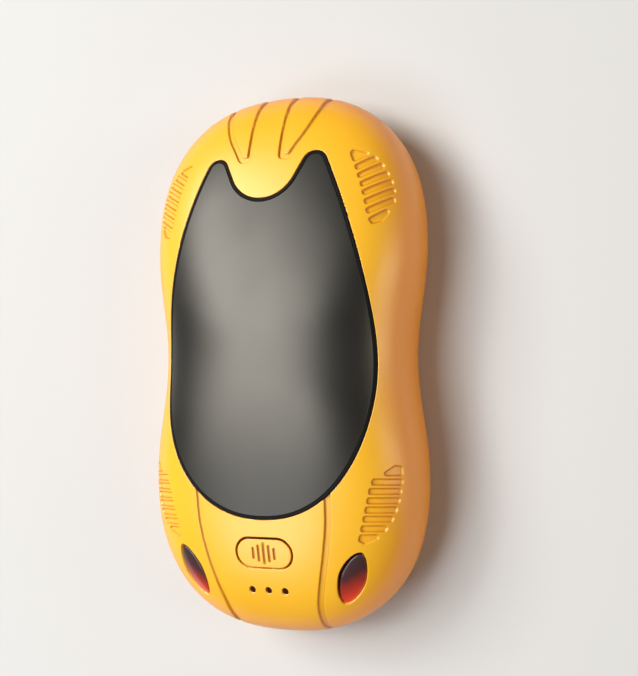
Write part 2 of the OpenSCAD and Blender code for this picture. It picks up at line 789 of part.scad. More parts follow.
// A wire through a list of points
wire_d = 1.1;
wire_sides = 6;
module wire(points) {
    last = len(points) - 1;
    function way(i) = let (v = points[min(last, i + 1)] - points[max(0, i - 1)]) v / norm(v);
    function ring(i) = let (w = way(i), side = [1, 0, 0], up = cross(side, w))
        [for (k = [0 : wire_sides - 1])
            points[i] + wire_d / 2 * (cos(360 * k / wire_sides) * side + sin(360 * k / wire_sides) * up)];
    ring_solid([for (i = [0 : last]) ring(i)]);
}
module wire_pair(points, spread) {
    for (side = [-1, 1]) wire([for (p = points) p + [side * spread, 0, 0]]);
}
wire_spread = 0.9;
battery_wire_z = board_high + connector_size.z / 2;
battery_wire_clear = 0.58;
tray_high = battery_wire_z - wire_d / 2 - battery_wire_clear;
battery_wire_bow = 0.5;
battery_wire_bow_shares = [0, 0.5, 1, 0.5, 0];
connector_back_y = connector_place.y + connector_size.y / 2;
module battery_wires() {
    from_y = -cell_l / 2 - skin_gap;
    to_y = connector_back_y + skin_gap;
    last = len(battery_wire_bow_shares) - 1;
    color("#b02020")
        wire_pair([for (i = [0 : last])
            [connector_place.x, from_y + (to_y - from_y) * i / last,
             battery_wire_z + battery_wire_bow * battery_wire_bow_shares[i]]], wire_spread);
}
front_wire_in = 4.5;
front_wire_bow_in = 1.9;
front_wire_bow_z = 3.17;
front_wire_above_button = 4.05;
front_wire_start_y = panel_end_margin + front_wire_in - half_l;
front_wire_end_y = button_y + front_wire_above_button;
module front_heater_wires() {
    start_z = dome_z(0, front_wire_start_y) - foam_drop - skin_gap;
    color("#d8d4cc")
        wire_pair([
            [0, front_wire_start_y, start_z],
            [0, front_wire_start_y, start_z - wire_d],
            [0, panel_end_margin + front_wire_bow_in - half_l, board_high + front_wire_bow_z],
            [0, front_wire_end_y, board_high + wire_d],
            [0, front_wire_end_y, board_high + skin_gap]
        ], wire_spread);
}
back_wire_in = 2.4;
back_wire_above_button = 3.15;
back_wire_over_floor = 1;
back_wire_start_y = back_wire_in - opening_half_l;
back_wire_z = floor_t + back_wire_over_floor;
back_wire_end_y = button_y + back_wire_above_button;
module back_heater_wires() {
    film_high = plate_high + skin_gap + film_t;
    color("#d8d4cc")
        wire_pair([
            [0, back_wire_start_y, film_high + skin_gap],
            [0, back_wire_start_y, film_high + wire_d],
            [0, back_wire_start_y - 2 * wire_d, back_wire_z],
            [0, back_wire_end_y + 2 * wire_d, back_wire_z],
            [0, back_wire_end_y, back_wire_z + 2 * wire_d],
            [0, back_wire_end_y, board_low - skin_gap]
        ], wire_spread);
}

thermistor_in = 2.6;
thermistor_place = [0, opening_half_l - thermistor_in];
thermistor_size = [3, 1.8, 1.1];
module thermistor() {
    color("#20242a")
        translate([thermistor_place.x - thermistor_size.x / 2, thermistor_place.y - thermistor_size.y / 2,
            plate_high + 2 * skin_gap + film_t]) cube(thermistor_size);
}

cell_corner_r = 2;
module battery_cell() {
    color("#8f9297")
        prism(rounded_box(cell_l, cell_w, cell_corner_r), cell_low, cell_high);
}

// Chassis: a tray that carries the cell and the board, screwed to the front shell
wire_slot_w = 5;
module inner_chassis() {
    outer_l = cell_l + 2 * tray_wall;
    outer_w = cell_w + 2 * tray_wall;
    color("#2c2d30")
        difference() {
            union() {
                prism(drawn_in(body_outline, chassis_inset), chassis_low, chassis_high);
                prism(rounded_box(outer_l, outer_w, cell_corner_r + cell_wall), chassis_low, tray_high);
                for (p = shell_screw_places)
                    translate([p.x, p.y, chassis_low])
                        cylinder(d = chassis_boss_d, h = chassis_t + chassis_boss_h, $fn = fine);
                for (p = board_screw_places)
                    translate([p.x, p.y, chassis_low])
                        cylinder(d = standoff_d, h = board_low - skin_gap - chassis_low, $fn = fine);
            }
            prism(rounded_box(cell_l + 2 * cell_clear, cell_w + 2 * cell_clear, cell_corner_r), chassis_high,
                body_h);
            for (p = shell_screw_places)
                translate([p.x, p.y, 0]) cylinder(d = thread_bore_d, h = body_h, $fn = fine);
            for (p = board_screw_places)
                translate([p.x, p.y, chassis_high]) cylinder(d = thread_bore_d, h = body_h, $fn = fine);
            for (p = post_places)
                translate([p.x, p.y, 0]) cylinder(d = screw_hole_d, h = body_h, $fn = fine);
            translate([-wire_slot_w / 2, back_wire_end_y - wire_slot_w / 2, 0])
                cube([wire_slot_w, wire_slot_w, body_h]);
        }
}

// Pan head screws, by the height of the head's seat and the way the shank points
module screw(l, up) {
    rotate([up ? 0 : 180, 0, 0]) {
        cylinder(d = screw_d, h = l, $fn = fine);
        translate([0, 0, -head_h]) cylinder(d = head_d, h = head_h, $fn = fine);
    }
}
module chassis_screws() {
    color("#9a9ca0")
        for (p = post_places) translate([p.x, p.y, chassis_low - skin_gap]) screw(chassis_screw_l, true);
}
module threaded_inserts() {
    color("#c9a24a")
        for (p = post_places)
            translate([p.x, p.y, post_low + skin_gap])
                difference() {
                    cylinder(d = insert_d, h = insert_l, $fn = fine);
                    translate([0, 0, -cut_over])
                        cylinder(d = thread_bore_d, h = insert_l + 2 * cut_over, $fn = fine);
                }
}
module back_shell_screws() {
    color("#9a9ca0")
        for (p = shell_screw_places)
            translate([p.x, p.y, recess_depth + head_h + skin_gap]) screw(shell_screw_l, true);
}
module board_screws() {
    color("#9a9ca0")
        for (p = board_screw_places) translate([p.x, p.y, board_high + skin_gap]) screw(board_screw_l, false);
}

// Back plate in its recess, with a rubber ring round it and glue under its edge
seal_w = 0.8;
plate_edge = seal_w + 2 * skin_gap;
module back_plate() {
    color("#1d1c1a")
        prism(oval(plate_half_w - plate_edge, plate_half_l - plate_edge), plate_low, plate_high);
}
module back_plate_seal() {
    color("#0d0b0a")
        difference() {
            prism(oval(plate_half_w - skin_gap, plate_half_l - skin_gap), plate_low + flush_drop, plate_high);
            prism(oval(plate_half_w - seal_w, plate_half_l - seal_w), -cut_over, plate_high + cut_over);
        }
}
module plate_adhesive() {
    color("#1c1c1e")
        difference() {
            prism(oval(plate_half_w - 2 * skin_gap, plate_half_l - 2 * skin_gap), plate_high + skin_gap,
                plate_high + skin_gap + glue_t);
            prism(oval(opening_half_w, opening_half_l), 0, body_h);
            for (p = shell_screw_places)
                translate([p.x, p.y, 0]) cylinder(d = head_d + 2 * loose_gap, h = body_h, $fn = fine);
        }
}
module back_heater_film() {
    color("#c98a3c")
        prism(oval(opening_half_w - film_margin, opening_half_l - film_margin), plate_high + skin_gap,
            plate_high + skin_gap + film_t);
}
back_foam_end_gap = 5;
back_foam_side_gap = 4.2;
back_foam_l = 2 * (opening_half_l - back_foam_end_gap);
back_foam_w = 2 * (opening_half_w - back_foam_side_gap);
module back_foam() {
    color("#55565a")
        prism(rounded_box(back_foam_l, back_foam_w, foam_corner_r), plate_high + 2 * skin_gap + film_t,
            chassis_low - seat_gap);
}
module magnets() {
    color("#b8babd")
        for (p = magnet_places)
            translate([p.x, p.y, floor_t + skin_gap])
                cylinder(d = magnet_d, h = magnet_t - skin_gap, $fn = fine);
}

front_shell();
back_shell();
front_panel();
panel_gasket();
panel_adhesive();
front_heater_film();
front_foam();
power_button();
tact_switch();
switch_plunger();
light_guide();
indicator_leds();
tail_lens_left();
tail_lens_right();
tail_leds();
usb_c_port();
usb_c_tongue();
circuit_board();
charge_controller();
boost_inductor();
board_capacitors();
battery_connector();
battery_wires();
front_heater_wires();
back_heater_wires();
thermistor();
battery_cell();
inner_chassis();
chassis_screws();
threaded_inserts();
back_shell_screws();
board_screws();
back_plate();
back_plate_seal();
plate_adhesive();
back_heater_film();
back_foam();
magnets();
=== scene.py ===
import math

import bmesh
import bpy
import numpy as np
from mathutils import Matrix, Vector


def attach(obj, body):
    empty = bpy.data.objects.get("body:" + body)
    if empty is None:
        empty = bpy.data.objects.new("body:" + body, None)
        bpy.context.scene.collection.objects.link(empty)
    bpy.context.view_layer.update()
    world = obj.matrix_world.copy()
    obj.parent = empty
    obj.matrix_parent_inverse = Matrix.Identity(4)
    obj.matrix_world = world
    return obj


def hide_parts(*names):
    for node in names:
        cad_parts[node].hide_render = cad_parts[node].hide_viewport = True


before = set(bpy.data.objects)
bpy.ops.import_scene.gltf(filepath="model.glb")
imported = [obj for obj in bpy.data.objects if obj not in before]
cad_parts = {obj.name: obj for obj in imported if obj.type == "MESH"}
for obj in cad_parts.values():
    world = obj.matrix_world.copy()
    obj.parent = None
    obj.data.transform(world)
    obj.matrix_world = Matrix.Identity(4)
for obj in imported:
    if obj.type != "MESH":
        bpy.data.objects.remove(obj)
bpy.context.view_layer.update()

# Camera: where the photograph was taken from, a little to the right of the hand warmer's middle line. Its angles
# and distance come from fitting the body's outline, at a length of 105 mm.
MM = 0.001
SENSOR, PHOTO_HEIGHT, FOCAL_PIXELS = 36.0, 676, 1108.346
turn, tip, lean = (math.radians(a) for a in (23.196, -3.924, 0.179))
aim = Matrix.Rotation(lean, 3, "Z") @ Matrix.Rotation(tip, 3, "X") @ Matrix.Rotation(-turn, 3, "Y")
to_world = aim.transposed()
stand = to_world @ Vector((1.769, 5.1, 229.447)) * MM
camera_data = bpy.data.cameras.new("camera")
camera_data.sensor_width = SENSOR
camera_data.lens = SENSOR * FOCAL_PIXELS / PHOTO_HEIGHT
camera_data.clip_start = 0.005
camera = bpy.data.objects.new("camera", camera_data)
camera.matrix_world = Matrix.Translation(stand) @ to_world.to_4x4()
bpy.context.scene.collection.objects.link(camera)
bpy.context.scene.camera = camera

# Studio: a pale matt paper floor, three soft lamps high over the left of the body, at its head, over its middle and
# at its foot, and a weak one low on the right. The sky is even and dim. It looks pale to the eye, but lights little.
bpy.context.scene.view_settings.view_transform = "Standard"
BODY_MIDDLE = Vector((0, 0, 0.012))


def srgb(text):
    """A colour written as #rrggbb, as the linear values that a shader takes."""
    parts = [int(text[i : i + 2], 16) / 255 for i in (1, 3, 5)]
    return tuple(p / 12.92 if p <= 0.04045 else ((p + 0.055) / 1.055) ** 2.4 for p in parts) + (1.0,)


def add(tree, kind, inputs=None, **settings):
    """Adds a node with its settings, and sets or links its inputs."""
    made = tree.nodes.new(kind)
    for name, value in settings.items():
        setattr(made, name, value)
    for name, value in (inputs or {}).items():
        socket = made.inputs[name]
        if isinstance(value, bpy.types.NodeSocket):
            tree.links.new(value, socket)
        else:
            socket.default_value = value
    return made


def lamp(name, place, size, power, colour):
    """A soft rectangular lamp that points at the middle of the body. Places and sizes are in metres."""
    data = bpy.data.lights.new(name, "AREA")
    data.shape = "RECTANGLE"
    data.size, data.size_y = size
    data.energy = power
    data.color = srgb(colour)[:3]
    made = bpy.data.objects.new(name, data)
    made.location = place
    made.rotation_euler = (BODY_MIDDLE - Vector(place)).to_track_quat("-Z", "Y").to_euler()
    bpy.context.scene.collection.objects.link(made)


lamp("key_lamp", (-0.58, 0.36, 0.66), (0.40, 0.40), 5.2, "#fffefb")
lamp("top_lamp", (-0.34, 0.06, 0.82), (0.32, 0.60), 5.3, "#fffefb")
lamp("foot_lamp", (-0.36, -0.40, 0.76), (0.30, 0.30), 1.8, "#eef4ff")
lamp("side_lamp", (0.80, 0.00, 0.26), (0.24, 0.60), 1.5, "#fff2e4")

PALE = srgb("#f1f0ee")
world = bpy.data.worlds.new("studio")
world.use_nodes = True
bpy.context.scene.world = world
sky = world.node_tree
sky.nodes.clear()
ray = add(sky, "ShaderNodeLightPath").outputs
seen = add(sky, "ShaderNodeMath", {0: ray["Is Camera Ray"], 1: ray["Is Transmission Ray"]}, operation="MAXIMUM")
dim = add(sky, "ShaderNodeBackground", {"Color": srgb("#f4f2ee"), "Strength": 0.14})
pale = add(sky, "ShaderNodeBackground", {"Color": PALE, "Strength": 1.0})
mixed = add(sky, "ShaderNodeMixShader", {0: seen.outputs[0], 1: dim.outputs[0], 2: pale.outputs[0]})
add(sky, "ShaderNodeOutputWorld", {"Surface": mixed.outputs[0]})

# The floor's colour turns to the sky's between these distances from the middle, so no horizon shows
FLOOR_HALF, FADE_FROM, FADE_TO = 6.0, 0.11, 0.36
floor_mesh = bmesh.new()
bmesh.ops.create_grid(floor_mesh, x_segments=1, y_segments=1, size=FLOOR_HALF)
floor_data = bpy.data.meshes.new("floor")
floor_mesh.to_mesh(floor_data)
floor_mesh.free()
floor = bpy.data.objects.new("floor", floor_data)
bpy.context.scene.collection.objects.link(floor)
matt = bpy.data.materials.new("matt_paper_floor")
matt.use_nodes = True
paper = matt.node_tree
paper.nodes.clear()
sheet = add(paper, "ShaderNodeBsdfPrincipled",
            {"Base Color": srgb("#d3d2d0"), "Roughness": 0.95, "Specular IOR Level": 0.2})
glow = add(paper, "ShaderNodeEmission", {"Color": PALE, "Strength": 1.0})
place = add(paper, "ShaderNodeTexCoord").outputs["Object"]
away = add(paper, "ShaderNodeVectorMath", {0: place}, operation="LENGTH").outputs["Value"]
fade = add(paper, "ShaderNodeMapRange", {"Value": away, "From Min": FADE_FROM, "From Max": FADE_TO},
           interpolation_type="SMOOTHSTEP")
ray = add(paper, "ShaderNodeLightPath").outputs
looked = add(paper, "ShaderNodeMath", {0: ray["Is Camera Ray"], 1: ray["Is Glossy Ray"]}, operation="MAXIMUM")
looked = add(paper, "ShaderNodeMath", {0: looked.outputs[0], 1: ray["Is Transmission Ray"]}, operation="MAXIMUM")
share = add(paper, "ShaderNodeMath", {0: fade.outputs["Result"], 1: looked.outputs[0]}, operation="MULTIPLY")
surface = add(paper, "ShaderNodeMixShader", {0: share.outputs[0], 1: sheet.outputs[0], 2: glow.outputs[0]})
add(paper, "ShaderNodeOutputMaterial", {"Surface": surface.outputs[0]})
floor_data.materials.append(matt)

# Front shell: one domed moulding in yellow ABS with a satin skin and an hourglass outline. The mould presses in its
# vents and its wide claw and trunk channels, and leaves wells for the panel, the button, the lamps and the lenses.
# The port's mouth goes through its end wall. It meets the back shell at a seam low on the side.
HALF_W, HALF_L, WAIST, LOBE_Y, END_POWER = 27.8, 52.5, 25.5, 22.9, 2.4
RIM, DOME, SPREAD_POWER, RISE_POWER = 9.6, 15.4, 2.45, 2.5
RIM_PULL, RIM_TURN = 3.3, math.radians(60)
RIM_R = RIM_PULL / (1 - math.cos(RIM_TURN))
SEAM_TOP, SEAM_BEVEL, WALL = 3.7, 0.12, 2.6

sweep = np.radians(np.linspace(0, 90, 400))
lobe_x = HALF_W * np.cos(sweep) ** (2 / END_POWER)
lobe_y = LOBE_Y + (HALF_L - LOBE_Y) * np.sin(sweep) ** (2 / END_POWER)
waist_y = np.linspace(-LOBE_Y, LOBE_Y, 400)
waist_x = WAIST + (HALF_W - WAIST) * (1 - np.cos(np.pi * np.abs(waist_y) / LOBE_Y)) / 2
right_x = np.concatenate([lobe_x[::-1], waist_x[1:-1], lobe_x])
right_y = np.concatenate([-lobe_y[::-1], waist_y[1:-1], lobe_y])
BODY = np.column_stack(
    [np.concatenate([right_x, -right_x[-2:0:-1]]), np.concatenate([right_y, right_y[-2:0:-1]])]
)
bearing = np.arctan2(BODY[:, 1], BODY[:, 0])
by_bearing = np.argsort(bearing)
reach_at, reach_of = bearing[by_bearing], np.hypot(BODY[:, 0], BODY[:, 1])[by_bearing]


def even(outline, count):
    """The closed outline again, as points at even distances along it."""
    loop = np.vstack([outline, outline[:1]])
    run = np.concatenate([[0], np.cumsum(np.hypot(*np.diff(loop, axis=0).T))])
    at = np.linspace(0, run[-1], count, endpoint=False)
    return np.column_stack([np.interp(at, run, loop[:, 0]), np.interp(at, run, loop[:, 1])])


def body_share(x, y):
    """How far a place is on the way from the middle to the body's outline, which is at 1."""
    return np.hypot(x, y) / np.interp(np.arctan2(y, x), reach_at, reach_of, period=2 * np.pi)


def rise(share, height=DOME):
    """The dome's height over the rim at a share of the way out."""
    return height * np.maximum(0, 1 - share**SPREAD_POWER) ** (1 / RISE_POWER)


def dome_z(x, y):
    return RIM + rise(body_share(x, y))


def rim_inset(z):
    """How far the side is drawn in at a height below the rim, where it turns under in an arc."""
    return RIM_R * (1 - np.sqrt(1 - ((1 - z / RIM) * math.sin(RIM_TURN)) ** 2))


def drawn_in(outline, d):
    """An outline scaled in by d at the body's sides and ends."""
    return outline * np.array([1 - d / HALF_W, 1 - d / HALF_L])


def with_z(outline, z):
    return np.column_stack([outline, np.broadcast_to(z, len(outline))])


def dome_shares(count):
    """Where the rings that close a dome lie, from its rim to short of its top."""
    turns = [math.radians(90 * (1 - i / count)) for i in range(1, count)]
    return np.array([math.sin(turn) ** (2 / SPREAD_POWER) for turn in turns])


def unit(directions):
    return directions / np.linalg.norm(directions, axis=1)[:, None]


def dome_normal(x, y):
    """The outward direction of the dome at places below its top."""
    step = 0.01
    share = np.maximum(body_share(x, y), 1e-6)
    up = np.maximum(0, 1 - share**SPREAD_POWER) ** (1 / RISE_POWER)
    pull = SPREAD_POWER * share ** (SPREAD_POWER - 1)
    gx = pull * (body_share(x + step, y) - body_share(x - step, y)) / (2 * step)
    gy = pull * (body_share(x, y + step) - body_share(x, y - step)) / (2 * step)
    gz = RISE_POWER * up ** (RISE_POWER - 1) / DOME
    return unit(np.column_stack([gx, gy, gz]))


def polygon_distance(p, corners, coarse=1):
    """Distance of places from a closed outline, below zero inside it. With coarse, places farther off than 1.6 mm
    are measured from every coarse-th corner only."""
    if coarse > 1:
        out = polygon_distance(p, corners[::coarse])
        near = np.abs(out) < 1.6
        out[near] = polygon_distance(p[near], corners)
        return out
    out = np.empty(len(p))
    batch = 20000
    a, b = corners, np.roll(corners, -1, axis=0)
    way = b - a
    size = np.maximum((way**2).sum(axis=1), 1e-12)
    climb = np.where(way[:, 1] == 0, 1e-12, way[:, 1])
    for low in range(0, len(p), batch):
        q = p[low : low + batch, None, :]
        off = q - a
        t = np.clip((off * way).sum(axis=2) / size, 0, 1)
        near = np.sqrt((((off - t[:, :, None] * way) ** 2).sum(axis=2)).min(axis=1))
        level = (a[:, 1] > q[:, :, 1]) != (b[:, 1] > q[:, :, 1])
        left = q[:, :, 0] < way[:, 0] * (q[:, :, 1] - a[:, 1]) / climb + a[:, 0]
        out[low : low + batch] = np.where((level & left).sum(axis=1) % 2 == 1, -near, near)
    return out


def line_distance(p, points, radius):
    """Distance of places from a round-ended channel along a line of points."""
    best = np.full(len(p), np.inf)
    for a, b in zip(points[:-1], points[1:]):
        way = b - a
        t = np.clip(((p - a) @ way) / max(way @ way, 1e-12), 0, 1)
        best = np.minimum(best, np.hypot(*(p - a - t[:, None] * way).T))
    return best - radius


# The panel opening, whose outline is also the gasket's and the panel's, drawn in
PANEL_HALF_W, PANEL_MID_Y, PANEL_DROP, PANEL_TAPER, PANEL_RISE = 22.0, -2.0, 28.3, 10.0, 41.0
SIDE_POWER, BOTTOM_POWER = 1.95, 2.2
EAR_Y, EAR_R, NOTCH_Y, NOTCH_R = 36.6, 2.55, 37.45, 7.05
ear_up = (EAR_Y - PANEL_MID_Y) / PANEL_RISE
ear_lean = math.atan(PANEL_TAPER * SIDE_POWER / PANEL_RISE * ear_up ** (SIDE_POWER - 1))
ear_x = PANEL_HALF_W - PANEL_TAPER * ear_up**SIDE_POWER - EAR_R / math.cos(ear_lean)
ear_to_notch = math.hypot(ear_x, EAR_Y - NOTCH_Y)
ear_end = math.atan2(NOTCH_Y - EAR_Y, -ear_x) - math.acos(min(1, (EAR_R + NOTCH_R) / ear_to_notch))


def rounded(t, power):
    """The x and y of a rounded outline of half size 1, at angles t."""
    c, s = np.cos(t), np.sin(t)
    return np.sign(c) * np.abs(c) ** (2 / power), np.sign(s) * np.abs(s) ** (2 / power)


def panel_outline(g):
    """The panel opening drawn in by g: rounded bottom, sides, two ears and the notch between them."""
    x, y = rounded(np.radians(np.linspace(90, 0, 60, endpoint=False)), BOTTOM_POWER)
    bottom = np.column_stack([(PANEL_HALF_W - g) * x, PANEL_MID_Y - (PANEL_DROP - g) * y])
    i = np.linspace(0, 1, 70, endpoint=False)
    y = PANEL_MID_Y + (EAR_Y + (EAR_R - g) * math.sin(ear_lean) - PANEL_MID_Y) * i
    side = PANEL_HALF_W - PANEL_TAPER * np.maximum(0, (y - PANEL_MID_Y) / PANEL_RISE) ** SIDE_POWER
    side = np.column_stack([side - g / np.cos(ear_lean * i), y])
    a = ear_lean + (ear_end - ear_lean) * np.linspace(0, 1, 34)
    ear = np.column_stack([ear_x + (EAR_R - g) * np.cos(a), EAR_Y + (EAR_R - g) * np.sin(a)])
    a = ear_end - math.pi - (ear_end - math.pi / 2) * np.linspace(0, 1, 40)
    notch = np.column_stack([(NOTCH_R + g) * np.cos(a), NOTCH_Y + (NOTCH_R + g) * np.sin(a)])
    half = np.vstack([bottom, side, ear, notch])
    return np.vstack([half, half[-2:0:-1] * [-1, 1]])


def on_body(shares, steps=5):
    """A smooth line through places given as shares of the body's half width and half length."""
    p = np.array(shares) * [HALF_W, HALF_L]
    p = np.vstack([2 * p[0] - p[1], p, 2 * p[-1] - p[-2]])
    t = np.linspace(0, 1, steps, endpoint=False)[:, None]
    run = [
        0.5 * (2 * b + (c - a) * t + (2 * a - 5 * b + 4 * c - d) * t**2 + (3 * b - a - 3 * c + d) * t**3)
        for a, b, c, d in zip(p[:-3], p[1:-2], p[2:-1], p[3:])
    ]
    return np.vstack(run + [p[-2:-1]])


# The channels: two claws in a hook at the head and two straight ones down the trunk, mirrored
CHANNEL_W = 1.15
CLAW = on_body(
    [[0.119, 1.02], [0.119, 0.876], [0.119, 0.75], [0.133, 0.733], [0.162, 0.73], [0.187, 0.735],
     [0.23, 0.773], [0.288, 0.823], [0.331, 0.876], [0.36, 0.926], [0.374, 1.0]]
)
TRUNK = on_body(
    [[0.481, -0.472], [0.478, -0.499], [0.471, -0.59], [0.439, -0.695], [0.392, -0.8], [0.349, -0.895],
     [0.335, -1.0]]
)
# The vents: how round the corners of a slot are, how much larger than its corners it gets, how far it reaches from
# its middle at most, how far out all of them lie, and the corners of each slot of the right side in millimetres
VENT_ROUND, VENT_GROWN, VENT_REACH, VENTS_FROM = 0.38, 0.06, 5.5, 16.9
VENTS = [
    [[22.75, -21.75], [24.9, -20.05], [25.75, -20.3], [25.8, -21.85]],
    [[21.1, -23.45], [21.5, -22.45], [25.8, -22.55], [25.75, -23.55]],
    [[20.65, -25.15], [20.85, -24.15], [25.65, -24.25], [25.55, -25.2]],
    [[20.25, -26.85], [20.5, -25.85], [25.45, -25.95], [25.2, -26.9]],
    [[19.85, -28.55], [20.1, -27.5], [25.05, -27.6], [24.7, -28.6]],
    [[19.4, -30.2], [19.7, -29.2], [24.5, -29.3], [24.0, -30.2]],
    [[18.95, -31.95], [19.25, -30.95], [23.5, -31.0], [22.9, -31.95]],
    [[18.5, -33.7], [18.8, -32.6], [22.3, -32.65], [21.6, -33.2], [19.4, -34.2]],
    [[17.7, 36.4], [16.95, 38.2], [17.35, 38.8], [19.6, 38.25], [20.4, 37.9]],
    [[18.4, 34.75], [18.0, 35.6], [21.15, 37.45], [21.85, 36.75]],
    [[18.9, 33.1], [18.6, 33.9], [22.45, 36.1], [22.95, 35.3]],
    [[19.45, 31.4], [19.15, 32.2], [23.4, 34.5], [23.85, 33.7]],
    [[19.9, 29.75], [19.6, 30.55], [24.15, 32.95], [24.55, 32.1]],
    [[20.3, 28.0], [20.05, 28.8], [24.7, 31.3], [24.9, 30.4]],
    [[20.7, 26.2], [20.4, 27.05], [24.85, 29.5], [24.9, 28.45]],
    [[21.5, 24.35], [20.85, 25.2], [24.3, 27.35], [23.9, 26.1], [23.0, 24.75]],
]
# The wells of the button, the three lamps and the lenses, with how far a lens's well reaches from its middle at
# most, and the port's mouth, which lies farther down than PORT_END
BUTTON_L, BUTTON_W, BUTTON_Y = 11.9, 6.1, -36.55
LAMP_Y, LAMP_PITCH, LAMP_D = -43.7, 3.4, 1.3
LENS_AT = np.array([0.5935 * HALF_W, -0.777 * HALF_L])
LENS_L, LENS_W, LENS_SLANT, LENS_POWER, LENS_REACH = 10.9, 4.8, math.radians(-24.4), 1.7, 8
PORT_W, PORT_H, PORT_GAP, PORT_END = 8.94, 3.16, 0.13, -46


def lens_outline(g, count=120):
    """The leaf-shaped outline of the right lens well, drawn in by g."""
    x, y = rounded(np.linspace(0, 2 * np.pi, count, endpoint=False), LENS_POWER)
    u, v = (LENS_W / 2 - g) * x, (LENS_L / 2 - g) * y
    c, s = math.cos(LENS_SLANT), math.sin(LENS_SLANT)
    return LENS_AT + np.column_stack([u * c - v * s, u * s + v * c])


def sides_in(corners, d):
    """The corners of a slot whose sides are moved in by d."""
    corners = np.array(corners)
    way = unit(np.roll(corners, -1, axis=0) - corners)
    inward = np.column_stack([way[:, 1], -way[:, 0]])
    before = np.roll(inward, 1, axis=0)
    return corners + d * (before + inward) / (1 + (before * inward).sum(axis=1))[:, None]


def pressed_distance(p):
    """Distance from the nearest vent or channel edge."""
    q = np.column_stack([np.abs(p[:, 0]), p[:, 1]])
    best = np.minimum(line_distance(q, CLAW, CHANNEL_W / 2), line_distance(q, TRUNK, CHANNEL_W / 2))
    for corners in VENTS:
        near = np.hypot(*(q - np.mean(corners, axis=0)).T) < VENT_REACH
        inner = sides_in(corners, VENT_ROUND - VENT_GROWN)
        best[near] = np.minimum(best[near], polygon_distance(q[near], inner) - VENT_ROUND)
    return best


PANEL_EDGE = even(panel_outline(0), 420)


def well_distance(p):
    """Distance from the nearest edge of the panel opening, the button's well, a lamp hole or a lens well."""
    q = np.column_stack([np.abs(p[:, 0]), p[:, 1]])
    arm = (BUTTON_L - BUTTON_W) / 2
    best = line_distance(p, np.array([[-arm, BUTTON_Y], [arm, BUTTON_Y]]), BUTTON_W / 2)
    for i in (-1, 0, 1):
        best = np.minimum(best, np.hypot(p[:, 0] - i * LAMP_PITCH, p[:, 1] - LAMP_Y) - LAMP_D / 2)
    near = np.hypot(*(q - LENS_AT).T) < LENS_REACH
    best[near] = np.minimum(best[near], polygon_distance(q[near], lens_outline(0)))
    return np.minimum(best, polygon_distance(p, PANEL_EDGE, 12))


def edge_distance(p):
    return np.minimum(pressed_distance(p), well_distance(p))


def port_distance(p):
    """Distance from the edge of the port's mouth, of places given by x and z."""
    arm = (PORT_W - PORT_H) / 2
    return line_distance(p, np.array([[-arm, RIM], [arm, RIM]]), PORT_H / 2 + PORT_GAP)


def soft_step(d, width):
    """From 0 at width outside an edge to 1 at width inside it."""
    t = np.clip((width - d) / (2 * width), 0, 1)
    return t * t * (3 - 2 * t)


CHANNEL_DEPTH, VENT_DEPTH, PANEL_POCKET, WELL_DEPTH = 0.5, 0.42, 1.75, 2.3
# Half the width of a channel's or well's wall and of a vent's wall as seen from above, and a well's rolled lip
EDGE, VENT_EDGE, LIP = 0.09, 0.15, 0.06
# An oval that takes in the whole panel opening and no other well
POCKET_HALF_W, POCKET_HALF_L, POCKET_Y = 24, 36, 4


def sunk(p):
    """How deep the surface is pressed in at a place."""
    d = pressed_distance(p)
    vent = np.abs(p[:, 0]) > VENTS_FROM
    pressed = np.where(vent, VENT_DEPTH * soft_step(d, VENT_EDGE), CHANNEL_DEPTH * soft_step(d, EDGE))
    d = well_distance(p)
    pocket = np.hypot(p[:, 0] / POCKET_HALF_W, (p[:, 1] - POCKET_Y) / POCKET_HALF_L) < 1
    depth = np.where(pocket, PANEL_POCKET, WELL_DEPTH)
    rolled = LIP * np.clip(1 - d / EDGE, 0, 1) ** 2
    return np.maximum(pressed, np.where(d > 0, rolled, LIP + (depth - LIP) * soft_step(d + EDGE / 2, EDGE / 2)))


# How much painted shade the corners in a vent and in a channel get at most, how far inside the edge, and over what
# width
VENT_SHADE, CHANNEL_SHADE = (0.3, 0.06, 0.15), (0.5, EDGE, 0.11)


def corner_shade(d, most, inside, width):
    return most * np.exp(-(((d + inside) / width) ** 2))


def shadowed(p):
    """How much painted shade the mould's sharp inner corners and its wells get for the light they keep out, from 0 to
    1.
    """
    d = pressed_distance(p)
    vent = np.abs(p[:, 0]) > VENTS_FROM
    painted_corner_shade = np.where(vent, corner_shade(d, *VENT_SHADE), corner_shade(d, *CHANNEL_SHADE))
    return np.maximum(painted_corner_shade, np.clip(-well_distance(p) / EDGE, 0, 1))


def onto_body(p):
    """Moves points to the body's smooth outside: above its widest line along the way from its middle, in Newton's
    steps, and below it straight outwards."""
    out = p.copy()
    high = p[:, 2] > RIM
    share = np.maximum(body_share(p[high, 0], p[high, 1]), 1e-9)
    w = (p[high, 2] - RIM) / DOME
    k = np.ones(high.sum())
    for _ in range(12):
        a, b = (k * share) ** SPREAD_POWER, (k * w) ** RISE_POWER
        k -= (a + b - 1) * k / np.maximum(SPREAD_POWER * a + RISE_POWER * b, 1e-9)
    out[high] = p[high] * k[:, None] + np.array([0, 0, RIM]) * (1 - k[:, None])
    d = rim_inset(p[~high, 2])
    share = body_share(p[~high, 0] / (1 - d / HALF_W), p[~high, 1] / (1 - d / HALF_L))
    out[~high, 0] /= share
    out[~high, 1] /= share
    return out


